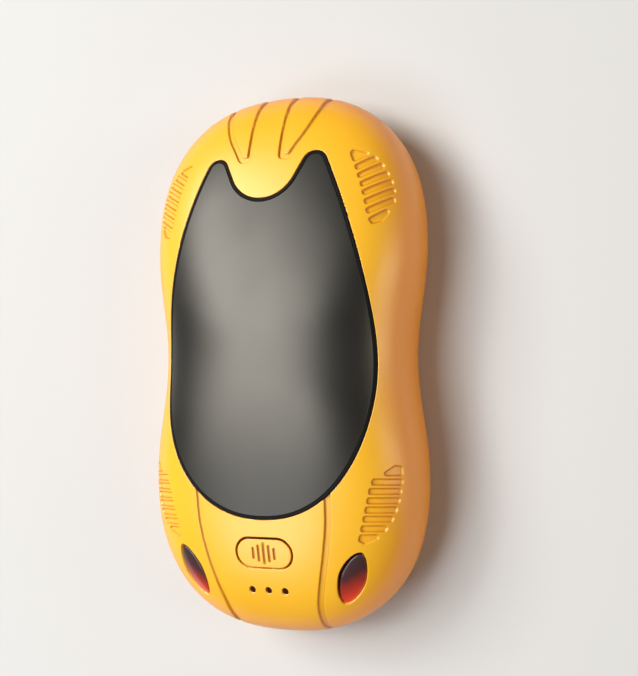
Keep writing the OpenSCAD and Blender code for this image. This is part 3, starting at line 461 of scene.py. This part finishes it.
def drawn_through(made, edges, rings, number=None):
    """Extrudes a loop of edges through rings of points, and gives the vertices of its last loop. A vertex goes to
    the point that number gives for it, or else to the one that its order layer names."""
    order = made.verts.layers.int["order"]
    for ring in rings:
        new = bmesh.ops.extrude_edge_only(made, edges=edges)["geom"]
        loop = [v for v in new if isinstance(v, bmesh.types.BMVert)]
        for v in loop:
            v.co = ring[number(v) if number else v[order]]
        inside = set(loop)
        edges = [e for e in new if isinstance(e, bmesh.types.BMEdge) and inside.issuperset(e.verts)]
    return loop


def ring_skin(rings, ends=(None, None)):
    """A skin that starts as a circle and is drawn through rings. An end that has a point closes to it."""
    made = bmesh.new()
    order = made.verts.layers.int.new("order")
    for i, v in enumerate(bmesh.ops.create_circle(made, segments=len(rings[0]), radius=1)["verts"]):
        v[order] = i
        v.co = rings[0][i]
    first = list(made.verts)
    last = drawn_through(made, list(made.edges), rings[1:])
    for verts, point in ((first, ends[0]), (last, ends[1])):
        if point is not None:
            bmesh.ops.pointmerge(made, verts=verts, merge_co=point)
    return made


def open_edges(made):
    return [e for e in made.edges if e.is_boundary]


def points(made):
    return np.array([v.co for v in made.verts])


def put(made, places):
    for v, co in zip(made.verts, places):
        v.co = co


def edge_ends(made):
    """Where each edge of a mesh starts and ends."""
    made.verts.index_update()
    at = points(made)
    pairs = np.array([[e.verts[0].index, e.verts[1].index] for e in made.edges])
    return at[pairs[:, 0]], at[pairs[:, 1]]


def halved(made, chosen):
    """Halves the chosen edges of a mesh of triangles, and the third edge wherever two of a triangle are chosen."""
    made.edges.index_update()
    sides = np.array([[edge.index for edge in face.edges] for face in made.faces])
    while (two := chosen[sides].sum(axis=1) == 2).any():
        chosen[sides[two]] = True
    edges = [edge for edge, split in zip(made.edges, chosen) if split]
    bmesh.ops.subdivide_edges(made, edges=edges, cuts=1, use_grid_fill=True, use_single_edge=True)


def slopes(depth, p, step):
    """How fast a depth or a distance grows along x and along y."""
    along_x = depth(p + [step, 0]) - depth(p - [step, 0])
    along_y = depth(p + [0, step]) - depth(p - [0, step])
    return np.column_stack([along_x, along_y]) / (2 * step)


def snapped(p, distance):
    """Moves places near the foot, the middle or the top of a wall right onto it. Beyond 0.4 mm none is near."""
    d = distance(p)
    near = np.abs(d) < 0.4
    q = p[near]
    grad = slopes(distance, q, 0.01)
    grad /= np.maximum(np.linalg.norm(grad, axis=1), 1e-6)[:, None]
    dn = d[near]
    move = np.zeros(len(q))
    for level in (-EDGE, 0, EDGE):
        hit = np.abs(dn - level) <= EDGE / 2
        move[hit] = level - dn[hit]
    out = p.copy()
    out[near] = q + grad * move[:, None]
    return out


def finished(name, made, body, node, material, normals=None, shade=None):
    """Turns a bmesh in millimetres into a smooth piece that rides on a body. Painted shade goes into an attribute."""
    bmesh.ops.recalc_face_normals(made, faces=made.faces)
    bmesh.ops.scale(made, verts=made.verts, vec=(MM, MM, MM))
    for face in made.faces:
        face.smooth = True
    data = bpy.data.meshes.new(name)
    made.to_mesh(data)
    made.free()
    if normals is not None:
        data.normals_split_custom_set_from_vertices(normals)
    if shade is not None:
        data.attributes.new("shade", "FLOAT", "POINT").data.foreach_set("value", shade)
    piece = bpy.data.objects.new(name, data)
    bpy.context.scene.collection.objects.link(piece)
    data.materials.append(material)
    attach(piece, body)
    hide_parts(node)


def grained(name, colour, roughness, grain_mm, relief_mm, drift=0.04, gloss=0.5, metallic=0.0,
            painted_side_shade=None, painted_corner_shade=None):
    """An even skin as moulding, coating or blasting leaves it: fine grain in the bump, and a slow drift in colour
    and gloss over patches of about 17 mm. Walls may have a painted shade in a second colour, which comes in from 13
    to 66 degrees of steepness, and sharp inner corners the darkest painted shade in a third, where the piece's
    attribute says so."""
    material = bpy.data.materials.new(name)
    material.use_nodes = True
    tree = material.node_tree
    shader = tree.nodes["Principled BSDF"]
    shader.inputs["Specular IOR Level"].default_value = gloss
    shader.inputs["Metallic"].default_value = metallic
    where = add(tree, "ShaderNodeTexCoord").outputs["Object"]
    grain = add(tree, "ShaderNodeTexNoise", {"Vector": where, "Scale": 1 / (grain_mm * MM), "Detail": 2.0})
    slow = add(tree, "ShaderNodeTexNoise", {"Vector": where, "Scale": 60.0, "Detail": 3.0}).outputs["Fac"]
    shade = add(tree, "ShaderNodeValToRGB", {"Fac": slow})
    bright = srgb(colour)
    ramp = shade.color_ramp.elements
    ramp[0].position, ramp[1].position = 0.3, 0.7
    ramp[0].color = tuple(c * (1 - drift) for c in bright[:3]) + (1.0,)
    ramp[1].color = bright
    worn = add(tree, "ShaderNodeMapRange",
               {"Value": slow, "From Min": 0.3, "From Max": 0.7, "To Min": roughness - 0.03,
                "To Max": roughness + 0.03})
    relief = {"Height": grain.outputs["Fac"], "Strength": 1.0, "Distance": relief_mm * MM}
    bump = add(tree, "ShaderNodeBump", relief)
    tint = shade.outputs["Color"]
    if painted_side_shade:
        facing = add(tree, "ShaderNodeNewGeometry").outputs["Normal"]
        up = add(tree, "ShaderNodeSeparateXYZ", {0: facing}).outputs["Z"]
        level = add(tree, "ShaderNodeMath", {0: up}, operation="ABSOLUTE").outputs[0]
        side_shade_amount = add(tree, "ShaderNodeMapRange", {"Value": level, "From Min": 0.975, "From Max": 0.40},
                    interpolation_type="SMOOTHSTEP").outputs["Result"]
        painted_shade_amount = add(tree, "ShaderNodeAttribute", attribute_name="shade").outputs["Fac"]
        for amount, shade_colour in ((side_shade_amount, painted_side_shade), (painted_shade_amount, painted_corner_shade)):
            mix = add(tree, "ShaderNodeMix", {0: amount, 6: tint, 7: srgb(shade_colour)}, data_type="RGBA")
            tint = mix.outputs["Result"]
    tree.links.new(tint, shader.inputs["Base Color"])
    tree.links.new(worn.outputs["Result"], shader.inputs["Roughness"])
    tree.links.new(bump.outputs["Normal"], shader.inputs["Normal"])
    return material


# Satin yellow ABS: a clear warm yellow with a broad soft highlight. Its real spark grain is about 0.05 mm across,
# and is drawn at 0.3 mm so that it shows.
# Its sloping sides are painted a more orange colour as shade, and its inner corners and wells a dark brown as painted
# shade
shell_yellow = grained("satin_yellow_abs", "#ffbf1e", 0.36, 0.30, 0.004, gloss=0.9, painted_side_shade="#ff9e12",
                       painted_corner_shade="#7a2c00")

# The plain skin, in rings from the seam up the side and over the dome
COUNT, DOME_RINGS, INNER_RINGS = 192, 37, 9
seam_ring = even(BODY, COUNT)
heights = [SEAM_TOP, SEAM_TOP + SEAM_BEVEL, 4.6, 5.8, 7.0, 8.3, RIM]
insets = [rim_inset(z) for z in heights]
insets[0] += SEAM_BEVEL
rings = [with_z(drawn_in(seam_ring, d), z) for d, z in zip(insets, heights)]
rings += [with_z(seam_ring * share, RIM + rise(share)) for share in dome_shares(DOME_RINGS)]
shell = ring_skin(rings, (None, (0, 0, RIM + DOME)))
bmesh.ops.triangulate(shell, faces=shell.faces)

# Its edges are halved until they are fine within reach of every wall, and longer the farther off they are. The
# mould's forms begin at one height, and at a lower one the points are free of the seam.
FINE, SHORTEST, REACH, GROWTH, SLACK = 0.18, 0.144, 0.16, 0.55, 1.15
PRESSED_FROM, FREE_FROM, PLAIN_TO, PORT_FROM = RIM - 2.5, SEAM_TOP + 0.2, SEAM_TOP + 0.3, 5


def longest(far, length):
    """How long an edge may be whose middle lies far from a wall."""
    return SLACK * (FINE + GROWTH * np.maximum(0, far - length / 2 - REACH))


for _ in range(6):
    a, b = edge_ends(shell)
    middle = (a + b) / 2
    flat = np.hypot(*(a - b)[:, :2].T)
    far = np.minimum(np.abs(pressed_distance(middle[:, :2])), np.abs(well_distance(middle[:, :2])))
    split = (middle[:, 2] > PRESSED_FROM) & (flat > longest(far, flat))
    upright = np.hypot(a[:, 0] - b[:, 0], a[:, 2] - b[:, 2])
    far = np.abs(port_distance(middle[:, [0, 2]]))
    split |= (middle[:, 1] < PORT_END) & (upright > longest(far, upright))
    split &= np.linalg.norm(a - b, axis=1) > SHORTEST
    halved(shell, split)
    at = points(shell)
    free = at[:, 2] > FREE_FROM
    at[free] = onto_body(at[free])
    put(shell, at)

# The points beside the walls move onto them. Where that turns a triangle over, its corners move back.
at = points(shell)
before = at.copy()
top = at[:, 2] > PRESSED_FROM
at[top, :2] = snapped(at[top, :2], edge_distance)
end = (at[:, 1] < PORT_END) & (at[:, 2] > PORT_FROM)
at[np.ix_(end, [0, 2])] = snapped(at[np.ix_(end, [0, 2])], port_distance)
free = at[:, 2] > FREE_FROM
at[free] = onto_body(at[free])
shell.verts.index_update()
corners = np.array([[v.index for v in face.verts] for face in shell.faces])


def facings(places):
    a, b, c = (places[corners[:, i]] for i in range(3))
    return np.cross(b - a, c - a)


for _ in range(4):
    turned = np.unique(corners[(facings(at) * facings(before)).sum(axis=1) < 0])
    at[turned] = before[turned]

# The outward direction of the smooth body at each point. Below the rim it is the outline's, tipped by the slope.
JUST_UNDER, STEP = 0.9999, 0.01
normal = dome_normal(at[:, 0], at[:, 1])
low = at[:, 2] < RIM
side = dome_normal(at[low, 0] * JUST_UNDER, at[low, 1] * JUST_UNDER)
side[:, 2] = 0
side = unit(side)
side[:, 2] = (rim_inset(at[low, 2] + STEP) - rim_inset(at[low, 2] - STEP)) / (2 * STEP)
normal[low] = unit(side)

# The mould's forms, pressed in along that direction, with the directions of their walls for the shading
STEEPEST = 3.0
fade = np.clip(at[:, 2] - PRESSED_FROM, 0, 1)
depth = np.where(at[:, 2] > PRESSED_FROM, sunk(at[:, :2]), 0) * fade
grad = np.column_stack([slopes(sunk, at[:, :2], 0.02), np.zeros(len(at))]) * fade[:, None]
grad -= (grad * normal).sum(axis=1)[:, None] * normal
size = np.linalg.norm(grad, axis=1)
grad *= (np.minimum(size, STEEPEST) / np.maximum(size, 1e-9))[:, None]
shaded = unit(normal + grad)
port_in = np.where(end, soft_step(port_distance(at[:, [0, 2]]), EDGE), 0)
moved = at - normal * depth[:, None]
moved[:, 1] += WALL * port_in
put(shell, moved)

# The inner skin, drawn from the seam through rings a wall's thickness in, with each point nearest in bearing
seam_bearing = np.arctan2(seam_ring[:, 1], seam_ring[:, 0])


def seam_number(v):
    """The number of the seam ring's point that lies nearest in bearing to a vertex."""
    return np.argmin(np.abs(np.angle(np.exp(1j * (seam_bearing - math.atan2(v.co.y, v.co.x))))))


outer = len(shell.verts)
in_ring = drawn_in(seam_ring, WALL)
inner = [with_z(drawn_in(seam_ring, rim_inset(SEAM_TOP) + WALL), SEAM_TOP), with_z(in_ring, RIM)]
inner += [with_z(in_ring * share, RIM + rise(share, DOME - WALL)) for share in dome_shares(INNER_RINGS)]
loop = drawn_through(shell, open_edges(shell), inner, seam_number)
bmesh.ops.pointmerge(shell, verts=loop, merge_co=(0, 0, RIM + DOME - WALL))
normals = np.zeros((len(shell.verts), 3))
plain = (port_in > 0) | (at[:, 2] < PLAIN_TO)
normals[:outer][~plain] = shaded[~plain]
# Painted shade: the inner corners of vents and channels, the wells and the port's mouth are darkened in the colour
shade = np.zeros(len(shell.verts))
shade[:outer] = np.where(at[:, 2] > PRESSED_FROM, shadowed(at[:, :2]), 0) * fade
shade[:outer] = np.maximum(shade[:outer], port_in)

# The port's mouth is cut through both skins and its walls bridged. The order layer keeps each point's number.
BEHIND_PORT_W, BEHIND_PORT_TOP = 11.2, 12.5
shell.verts.index_update()
order = shell.verts.layers.int["order"]
for v in shell.verts:
    v[order] = v.index
through = []
for face in shell.faces:
    x, y, z = face.calc_center_median()
    if abs(x) < BEHIND_PORT_W / 2 and y < PORT_END and z < BEHIND_PORT_TOP:
        numbers = [v.index for v in face.verts]
        behind = min(numbers) >= outer
        mouth = max(numbers) < outer and port_in[numbers].min() > JUST_UNDER
        if behind or mouth:
            through.append(face)
bmesh.ops.delete(shell, geom=through, context="FACES")
left = [v[order] for v in shell.verts]
bmesh.ops.bridge_loops(shell, edges=open_edges(shell))
finished("front_shell_moulding", shell, "body", "front_shell", shell_yellow, normals[left],
         shade[left])

# Back shell: the flat half of the body in the same yellow ABS, with a rounded rim, a soft crease where the rim meets
# the flat face, and a shallow oval recess that takes the back plate.
SEAM_LOW, BACK_INSIDE, FOOT = 3.5, 2.4, 1.2
PLATE_HALF_W, PLATE_HALF_L, PLATE_POWER = 17.6, 31.5, 2.2
PLATE_RECESS, RECESS_BEVEL, RECESS_BEVEL_Z = 1.35, 0.12, 0.1
# Inset from the foot of the rim, and height, of the rings down to the flat face
CREASE = ((0.13, 1.02), (0.30, 0.80), (0.46, 0.63), (0.62, 0.48), (0.80, 0.35), (1.0, 0.24), (1.25, 0.14),
          (1.5, 0.08), (1.8, 0.035), (2.1, 0.01), (2.6, 0.0))


def lowest_first(ring):
    return np.roll(ring, -np.argmin(ring[:, 1]), axis=0)


def plate_outline(d):
    """The back plate's oval recess drawn in by d."""
    x, y = rounded(np.linspace(0, 2 * np.pi, 2000, endpoint=False) - np.pi / 2, PLATE_POWER)
    return lowest_first(even(np.column_stack([(PLATE_HALF_W - d) * x, (PLATE_HALF_L - d) * y]), COUNT))


back_ring = lowest_first(seam_ring)
recess = plate_outline(0)
rings = [with_z(drawn_in(back_ring, rim_inset(SEAM_LOW) + SEAM_BEVEL), SEAM_LOW)]
rings += [with_z(drawn_in(back_ring, rim_inset(z)), z) for z in (3.38, 2.9, 2.4, 2.0, 1.6, FOOT)]
rings += [with_z(drawn_in(back_ring, rim_inset(FOOT) + d), z) for d, z in CREASE]
flat_start = drawn_in(back_ring, rim_inset(FOOT) + CREASE[-1][0])
rings += [with_z(flat_start + (recess - flat_start) * k, 0.0) for k in (0.35, 0.7, 0.97)]
grown = recess * [1 + RECESS_BEVEL / PLATE_HALF_W, 1 + RECESS_BEVEL / PLATE_HALF_L]
rings += [with_z(grown, 0.0), with_z(recess, RECESS_BEVEL_Z), with_z(recess, PLATE_RECESS)]
back = ring_skin(rings, (None, (0, 0, PLATE_RECESS)))
inside = drawn_in(back_ring, rim_inset(SEAM_LOW) + WALL)
loop = drawn_through(back, open_edges(back), [with_z(inside, SEAM_LOW), with_z(inside, BACK_INSIDE)])
bmesh.ops.pointmerge(back, verts=loop, merge_co=(0, 0, BACK_INSIDE))
finished("back_shell_moulding", back, "body", "back_shell", shell_yellow)

# Front panel: pressed and hard-anodised aluminium, domed to the body's curve and glued into its opening. Its edge is
# rolled over, and a soft black rubber gasket fills the gap round it.
FLUSH, PANEL_T, GASKET_W, SKIN_GAP, PANEL_RINGS = 0.1, 1.2, 0.85, 0.05, 28
# Inset and drop of the rings round the panel's rolled edge, and share of the width and drop of those of the bead
ROLL, ROLL_END, ROLL_STARTS = ((0.0, PANEL_T), (0.0, 0.13), (0.02, 0.05), (0.05, 0.01)), 0.08, 0.005
BEAD = ((0.0, 1.2), (0.0, 0.16), (0.06, 0.05), (0.2, 0.01), (0.5, 0.0), (0.8, 0.01), (0.94, 0.05), (1.0, 0.16),
        (1.0, 1.2))


def on_dome(outline, drop):
    """An outline laid on the dome, sunk by drop."""
    return np.column_stack([outline, dome_z(outline[:, 0], outline[:, 1]) - drop])


# Satin anodised aluminium: dark grey, with a broad soft reflection that follows the dome. Its bead-blasted grain is
# about 0.02 mm, and is drawn at 0.1 mm so that it shows. The oxide over the metal takes a little of its mirror.
panel_dark = grained("satin_anodised_aluminium", "#474541", 0.41, 0.10, 0.0012, drift=0.02, gloss=1.0, metallic=0.9)
g = GASKET_W - 2 * SKIN_GAP
rings = [on_dome(panel_outline(g + d), FLUSH + drop) for d, drop in ROLL]
base = panel_outline(g + ROLL_END)
rings += [on_dome(base * math.sin(math.radians(90 * k / PANEL_RINGS)), FLUSH) for k in range(PANEL_RINGS, 0, -1)]
panel = ring_skin(rings, ((0, 0, RIM + DOME - FLUSH - PANEL_T), (0, 0, RIM + DOME - FLUSH)))
at = points(panel)
normals = dome_normal(at[:, 0], at[:, 1])
normals[at[:, 2] < dome_z(at[:, 0], at[:, 1]) - FLUSH - ROLL_STARTS] = 0
finished("front_panel_plate", panel, "body", "front_panel", panel_dark, normals)

# Soft black rubber: a dull black line that hardly shines
gasket_black = grained("soft_black_rubber", "#0a0807", 0.7, 0.12, 0.004, drift=0.1, gloss=0.2)
bead_w = GASKET_W - 3.6 * SKIN_GAP
gasket = ring_skin([on_dome(panel_outline(SKIN_GAP + bead_w * share), FLUSH + drop) for share, drop in BEAD])
bmesh.ops.bridge_loops(gasket, edges=open_edges(gasket))
finished("panel_gasket_bead", gasket, "body", "panel_gasket", gasket_black)

# Power button: a separate cap in the shell's yellow ABS, crowned to the dome, with a rounded edge and five short
# grip lines engraved across it. It slides down in its well, so it rides on its own body.
BUTTON_GAP, CAP_DEEP, CAP_RINGS, CAP_FINE = 0.36, 1.5, 12, 0.16
# Inset and drop of the rings round the cap's rounded edge
CAP_EDGE, CAP_EDGE_END = ((0.0, CAP_DEEP), (0.0, 0.28), (0.05, 0.12), (0.13, 0.03)), 0.22
LINE_PITCH, LINE_W, LINE_DEPTH, LINE_EDGE, LINE_SHADE = 1.08, 0.40, 0.30, 0.1, 0.7
LINE_SHARES = (0.36, 0.52, 0.68, 0.52, 0.36)
# Half the width and length of the area with fine edges round the grip lines, and of the area that they press into
FINE_X, FINE_Y, LINED_X, LINED_Y = 2.6, 2.3, 3.2, 2.75
# How far under the dome an edge's middle, a point of the lined area and any other point may lie as part of the top,
# and how far under it the cap's side starts to darken and how soon it is darkest
EDGE_UNDER, LINED_UNDER, POINT_UNDER, DARK_FROM, DARK_OVER = 0.02, 0.05, 0.01, 0.12, 0.2


def stadium(shrink, count=160):
    """The outline of the button's well drawn in by shrink."""
    w, arm = BUTTON_W - 2 * shrink, (BUTTON_L - BUTTON_W) / 2
    a = np.linspace(-np.pi / 2, np.pi / 2, count // 2)
    right = np.column_stack([arm + w / 2 * np.cos(a), w / 2 * np.sin(a)])
    return np.vstack([right, -right]) + [0, BUTTON_Y]


def line_sunk(p):
    """How deep the grip lines are engraved at a place."""
    best = np.full(len(p), np.inf)
    for i, share in enumerate(LINE_SHARES):
        reach = share * BUTTON_W / 2 - LINE_W / 2
        x = (i - 2) * LINE_PITCH
        line = np.array([[x, BUTTON_Y - reach], [x, BUTTON_Y + reach]])
        best = np.minimum(best, line_distance(p, line, LINE_W / 2))
    return LINE_DEPTH * soft_step(best, LINE_EDGE)


rings = [on_dome(stadium(BUTTON_GAP + d), drop) for d, drop in CAP_EDGE]
base, middle = stadium(BUTTON_GAP + CAP_EDGE_END), np.array([0, BUTTON_Y])
rings += [on_dome(middle + (base - middle) * k / CAP_RINGS, 0) for k in range(CAP_RINGS, 0, -1)]
bottom = dome_z(np.array([0.0]), np.array([BUTTON_Y]))[0] - CAP_DEEP
button = ring_skin(rings, ((0, BUTTON_Y, bottom), (0, BUTTON_Y, bottom + CAP_DEEP)))
bmesh.ops.triangulate(button, faces=button.faces)
for _ in range(4):
    a, b = edge_ends(button)
    m = (a + b) / 2
    length = np.linalg.norm(a - b, axis=1)
    close = (np.abs(m[:, 0]) < FINE_X + length / 2) & (np.abs(m[:, 1] - BUTTON_Y) < FINE_Y + length / 2)
    halved(button, close & (m[:, 2] > dome_z(m[:, 0], m[:, 1]) - EDGE_UNDER) & (length > CAP_FINE))
at = points(button)
z = dome_z(at[:, 0], at[:, 1])
lined = (np.abs(at[:, 0]) < LINED_X) & (np.abs(at[:, 1] - BUTTON_Y) < LINED_Y)
upper = lined & (at[:, 2] > z - LINED_UNDER)
flush = at[:, 2] > z - POINT_UNDER - LINED_UNDER * upper
normal = dome_normal(at[:, 0], at[:, 1])
shaded = unit(normal + np.column_stack([slopes(line_sunk, at[:, :2], 0.02), np.zeros(len(at))]))
at[upper, 2] = z[upper]
at[upper] -= normal[upper] * line_sunk(at[upper, :2])[:, None]
put(button, at)
# Painted shade: the cap's side darkens in the colour the lower it lies, and so do the grip lines
shade = np.clip((z - at[:, 2] - DARK_FROM) / DARK_OVER, 0, 1)
shade[upper] = LINE_SHADE * line_sunk(at[upper, :2]) / LINE_DEPTH
finished("power_button_cap", button, "power_button", "power_button", shell_yellow,
         np.where(flush[:, None], shaded, 0), shade)

# Tail lenses: two leaf-shaped caps of smoked red polycarbonate with a polished, rounded edge, set a little below the
# shell. The lamp under the outer lower part lights them to a clear orange-red, and the rest stays smoky and dark.
LENS_GAP, LENS_DROP, LENS_CROWN, LENS_DEEP, LENS_RINGS = 0.26, 0.28, 0.12, 2.5, 12
# Inset and drop of the rings round a lens's edge
LENS_EDGE = ((0.0, 2.2), (0.0, 0.45), (0.06, 0.22), (0.18, 0.07), (0.36, 0.0))


def smoked_lens(name, side):
    """Smoked red polycarbonate under a clear polished skin, lit through its outer lower end. The colour runs along
    a line from the lens's middle, given in metres, and haze makes its edge a little uneven."""
    material = bpy.data.materials.new(name)
    material.use_nodes = True
    tree = material.node_tree
    shader = tree.nodes["Principled BSDF"]
    shader.inputs["Roughness"].default_value = 0.32
    shader.inputs["IOR"].default_value = 1.585
    shader.inputs["Specular IOR Level"].default_value = 0.35
    shader.inputs["Coat Weight"].default_value = 0.6
    shader.inputs["Coat Roughness"].default_value = 0.12
    where = add(tree, "ShaderNodeTexCoord").outputs["Object"]
    middle = (side * LENS_AT[0] * MM, LENS_AT[1] * MM, 0)
    local = add(tree, "ShaderNodeVectorMath", {0: where, 1: middle}, operation="SUBTRACT")
    to_lamp = (side * 0.50, -0.87, 0)
    way = add(tree, "ShaderNodeVectorMath", {0: local.outputs[0], 1: to_lamp}, operation="DOT_PRODUCT")
    haze = add(tree, "ShaderNodeTexNoise", {"Vector": where, "Scale": 500.0, "Detail": 2.0})
    wobble = add(tree, "ShaderNodeMath", {0: haze.outputs["Fac"], 1: 0.4 * MM}, operation="MULTIPLY")
    way = add(tree, "ShaderNodeMath", {0: way.outputs["Value"], 1: wobble.outputs[0]}, operation="ADD")
    along = add(tree, "ShaderNodeMapRange", {"Value": way.outputs[0], "From Min": -0.0027, "From Max": 0.0048})
    # Painted light: the colour runs from smoky dark to a lit orange-red toward the lamp's end, where the lens also
    # glows by emission
    colour = add(tree, "ShaderNodeValToRGB", {"Fac": along.outputs["Result"]})
    stops = colour.color_ramp.elements
    stops[0].color, stops[1].color = srgb("#3c2b2f"), srgb("#f4441e")
    stops.new(0.30).color = srgb("#4a2426")
    stops.new(0.55).color = srgb("#a02c1c")
    glow = add(tree, "ShaderNodeMapRange",
               {"Value": along.outputs["Result"], "From Min": 0.35, "From Max": 1.0, "To Min": 0.0, "To Max": 0.55})
    tree.links.new(colour.outputs["Color"], shader.inputs["Base Color"])
    tree.links.new(colour.outputs["Color"], shader.inputs["Emission Color"])
    tree.links.new(glow.outputs["Result"], shader.inputs["Emission Strength"])
    return material


for name, side in (("right", 1), ("left", -1)):
    rings = [on_dome(lens_outline(LENS_GAP + d), LENS_DROP + drop) for d, drop in LENS_EDGE]
    base = lens_outline(LENS_GAP + LENS_EDGE[-1][0])
    for k in range(LENS_RINGS - 1, 0, -1):
        share = k / LENS_RINGS
        crown = LENS_CROWN * (1 - share**2)
        rings.append(on_dome(LENS_AT + (base - LENS_AT) * share, LENS_DROP - crown))
    x, y = LENS_AT
    z = dome_z(LENS_AT[:1], LENS_AT[1:])[0]
    lens = ring_skin(rings, ((x, y, z - LENS_DEEP), (x, y, z - LENS_DROP + LENS_CROWN)))
    if side < 0:
        bmesh.ops.scale(lens, verts=lens.verts, vec=(-1, 1, 1))
    finished("tail_lens_cap_" + name, lens, "body", "tail_lens_" + name,
             smoked_lens("smoked_lens_" + name, side))

# Back plate: a flat oval of black-anodised aluminium with a small bevel, glued into the back shell's recess. A black
# rubber ring fills the gap round it.
PLATE_LOW, PLATE_HIGH, SEAL_W = 0.05, 1.05, 0.8
# Inset and height of the rings round the plate's bevel, and share of the width and height of those of the ring
BEVEL = ((0.0, 0.35), (0.03, 0.21), (0.10, 0.10), (0.21, 0.03), (0.35, 0.0), (0.6, 0.0))
SEAL = ((0.0, 1.05), (0.0, 0.32), (0.1, 0.2), (0.3, 0.15), (0.7, 0.15), (0.9, 0.2), (1.0, 0.32), (1.0, 1.05))

# Black anodised aluminium: the dyed oxide hides the metal, so it gives a plain dark satin
plate_dark = grained("black_anodised_aluminium", "#1b1a19", 0.42, 0.12, 0.001, drift=0.03, gloss=0.8)
d = SEAL_W + 2 * SKIN_GAP
rings = [with_z(plate_outline(d), PLATE_HIGH)]
rings += [with_z(plate_outline(d + inset), PLATE_LOW + z) for inset, z in BEVEL]
plate = ring_skin(rings, ((0, 0, PLATE_HIGH), (0, 0, PLATE_LOW)))
finished("back_plate_cover", plate, "body", "back_plate", plate_dark)
seal = ring_skin([with_z(plate_outline(SKIN_GAP + (SEAL_W - SKIN_GAP) * s), z) for s, z in SEAL])
bmesh.ops.bridge_loops(seal, edges=open_edges(seal))
finished("back_plate_ring", seal, "body", "back_plate_seal", gasket_black)


# Parts inside, and the port and light pipes that show through openings: they keep their CAD shape and take the
# finish of what they are made of.
def metal(name, colour, roughness, grain_mm, relief_mm, stretch=(1, 1, 1)):
    """A metal with its own fine marks: stretch draws them out along an axis, as rolling or turning does."""
    material = bpy.data.materials.new(name)
    material.use_nodes = True
    tree = material.node_tree
    shader = tree.nodes["Principled BSDF"]
    shader.inputs["Metallic"].default_value = 1.0
    where = add(tree, "ShaderNodeTexCoord").outputs["Object"]
    drawn = add(tree, "ShaderNodeMapping", {"Vector": where, "Scale": stretch}).outputs[0]
    marks = add(tree, "ShaderNodeTexNoise", {"Vector": drawn, "Scale": 1 / (grain_mm * MM), "Detail": 3.0})
    marks = marks.outputs["Fac"]
    shade = add(tree, "ShaderNodeValToRGB", {"Fac": marks})
    bright = srgb(colour)
    shade.color_ramp.elements[0].color = tuple(c * 0.86 for c in bright[:3]) + (1.0,)
    shade.color_ramp.elements[1].color = bright
    dull = add(tree, "ShaderNodeMapRange",
               {"Value": marks, "To Min": roughness - 0.06, "To Max": roughness + 0.06})
    bump = add(tree, "ShaderNodeBump", {"Height": marks, "Strength": 1.0, "Distance": relief_mm * MM})
    tree.links.new(shade.outputs["Color"], shader.inputs["Base Color"])
    tree.links.new(dull.outputs["Result"], shader.inputs["Roughness"])
    tree.links.new(bump.outputs["Normal"], shader.inputs["Normal"])
    return material


inner = {
    # Glue, film and foam: dull black rings, glossy amber sheets with heating tracks, and soft grey pads
    grained("glue_black", "#1c1c1e", 0.6, 0.2, 0.006): ["panel_adhesive", "plate_adhesive"],
    grained("amber_polyimide_film", "#c98a3c", 0.25, 0.4, 0.002, 0.1): ["front_heater_film", "back_heater_film"],
    grained("grey_pe_foam", "#55565a", 0.9, 0.5, 0.08, 0.15): ["front_foam", "back_foam"],
    # Moulded plastics: the chassis is coarse and dull, the small parts are finer, and the pipes are dark and clear
    grained("black_glass_filled_nylon", "#2c2d30", 0.55, 0.2, 0.008, 0.1): ["inner_chassis"],
    grained("black_switch_nylon", "#2a2a2c", 0.5, 0.1, 0.003): ["tact_switch"],
    grained("red_plunger_nylon", "#8c1f1a", 0.4, 0.1, 0.003): ["switch_plunger"],
    grained("smoked_light_pipe", "#2c1206", 0.5, 0.3, 0.001, gloss=0.05): ["light_guide"],
    grained("white_led_housing", "#f4f1d8", 0.35, 0.1, 0.002): ["indicator_leds", "tail_leds"],
    grained("black_port_tongue", "#1a1a1c", 0.45, 0.1, 0.002): ["usb_c_tongue"],
    grained("white_connector_nylon", "#f1efe6", 0.45, 0.12, 0.003): ["battery_connector"],
    # The board and what is soldered to it: shiny green mask, dull black epoxy, grey ferrite and tan ceramic
    grained("green_solder_mask", "#1f5c3a", 0.3, 0.3, 0.003, 0.12): ["circuit_board"],
    grained("black_chip_epoxy", "#202022", 0.55, 0.08, 0.004): ["charge_controller"],
    grained("grey_ferrite", "#3a3a3d", 0.6, 0.15, 0.01, 0.15): ["boost_inductor"],
    grained("tan_ceramic", "#b08a5a", 0.4, 0.1, 0.003, 0.1): ["board_capacitors"],
    grained("black_epoxy_bead", "#20242a", 0.3, 0.2, 0.004): ["thermistor"],
    # Silicone wires: a smooth, slightly waxy skin
    grained("red_silicone_wire", "#b02020", 0.4, 0.1, 0.002): ["battery_wires"],
    grained("white_silicone_wire", "#d8d4cc", 0.4, 0.1, 0.002): ["front_heater_wires", "back_heater_wires"],
    # Metals: rolled shell of the port, crinkled pouch, dull zinc, turned brass and bright nickel
    metal("rolled_nickel_plated_steel", "#c9ccd0", 0.28, 0.25, 0.001, (1, 0.2, 1)): ["usb_c_port"],
    metal("silver_laminate_pouch", "#8f9297", 0.38, 0.9, 0.02): ["battery_cell"],
    metal("zinc_plated_steel", "#9a9ca0", 0.35, 0.15, 0.002): ["chassis_screws", "back_shell_screws", "board_screws"],
    metal("turned_brass", "#c9a24a", 0.3, 0.12, 0.002, (1, 1, 0.2)): ["threaded_inserts"],
    metal("nickel_plated_magnet", "#b8babd", 0.22, 0.3, 0.001): ["magnets"],
}
for material, names in inner.items():
    for name in names:
        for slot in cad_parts[name].material_slots:
            slot.material = material
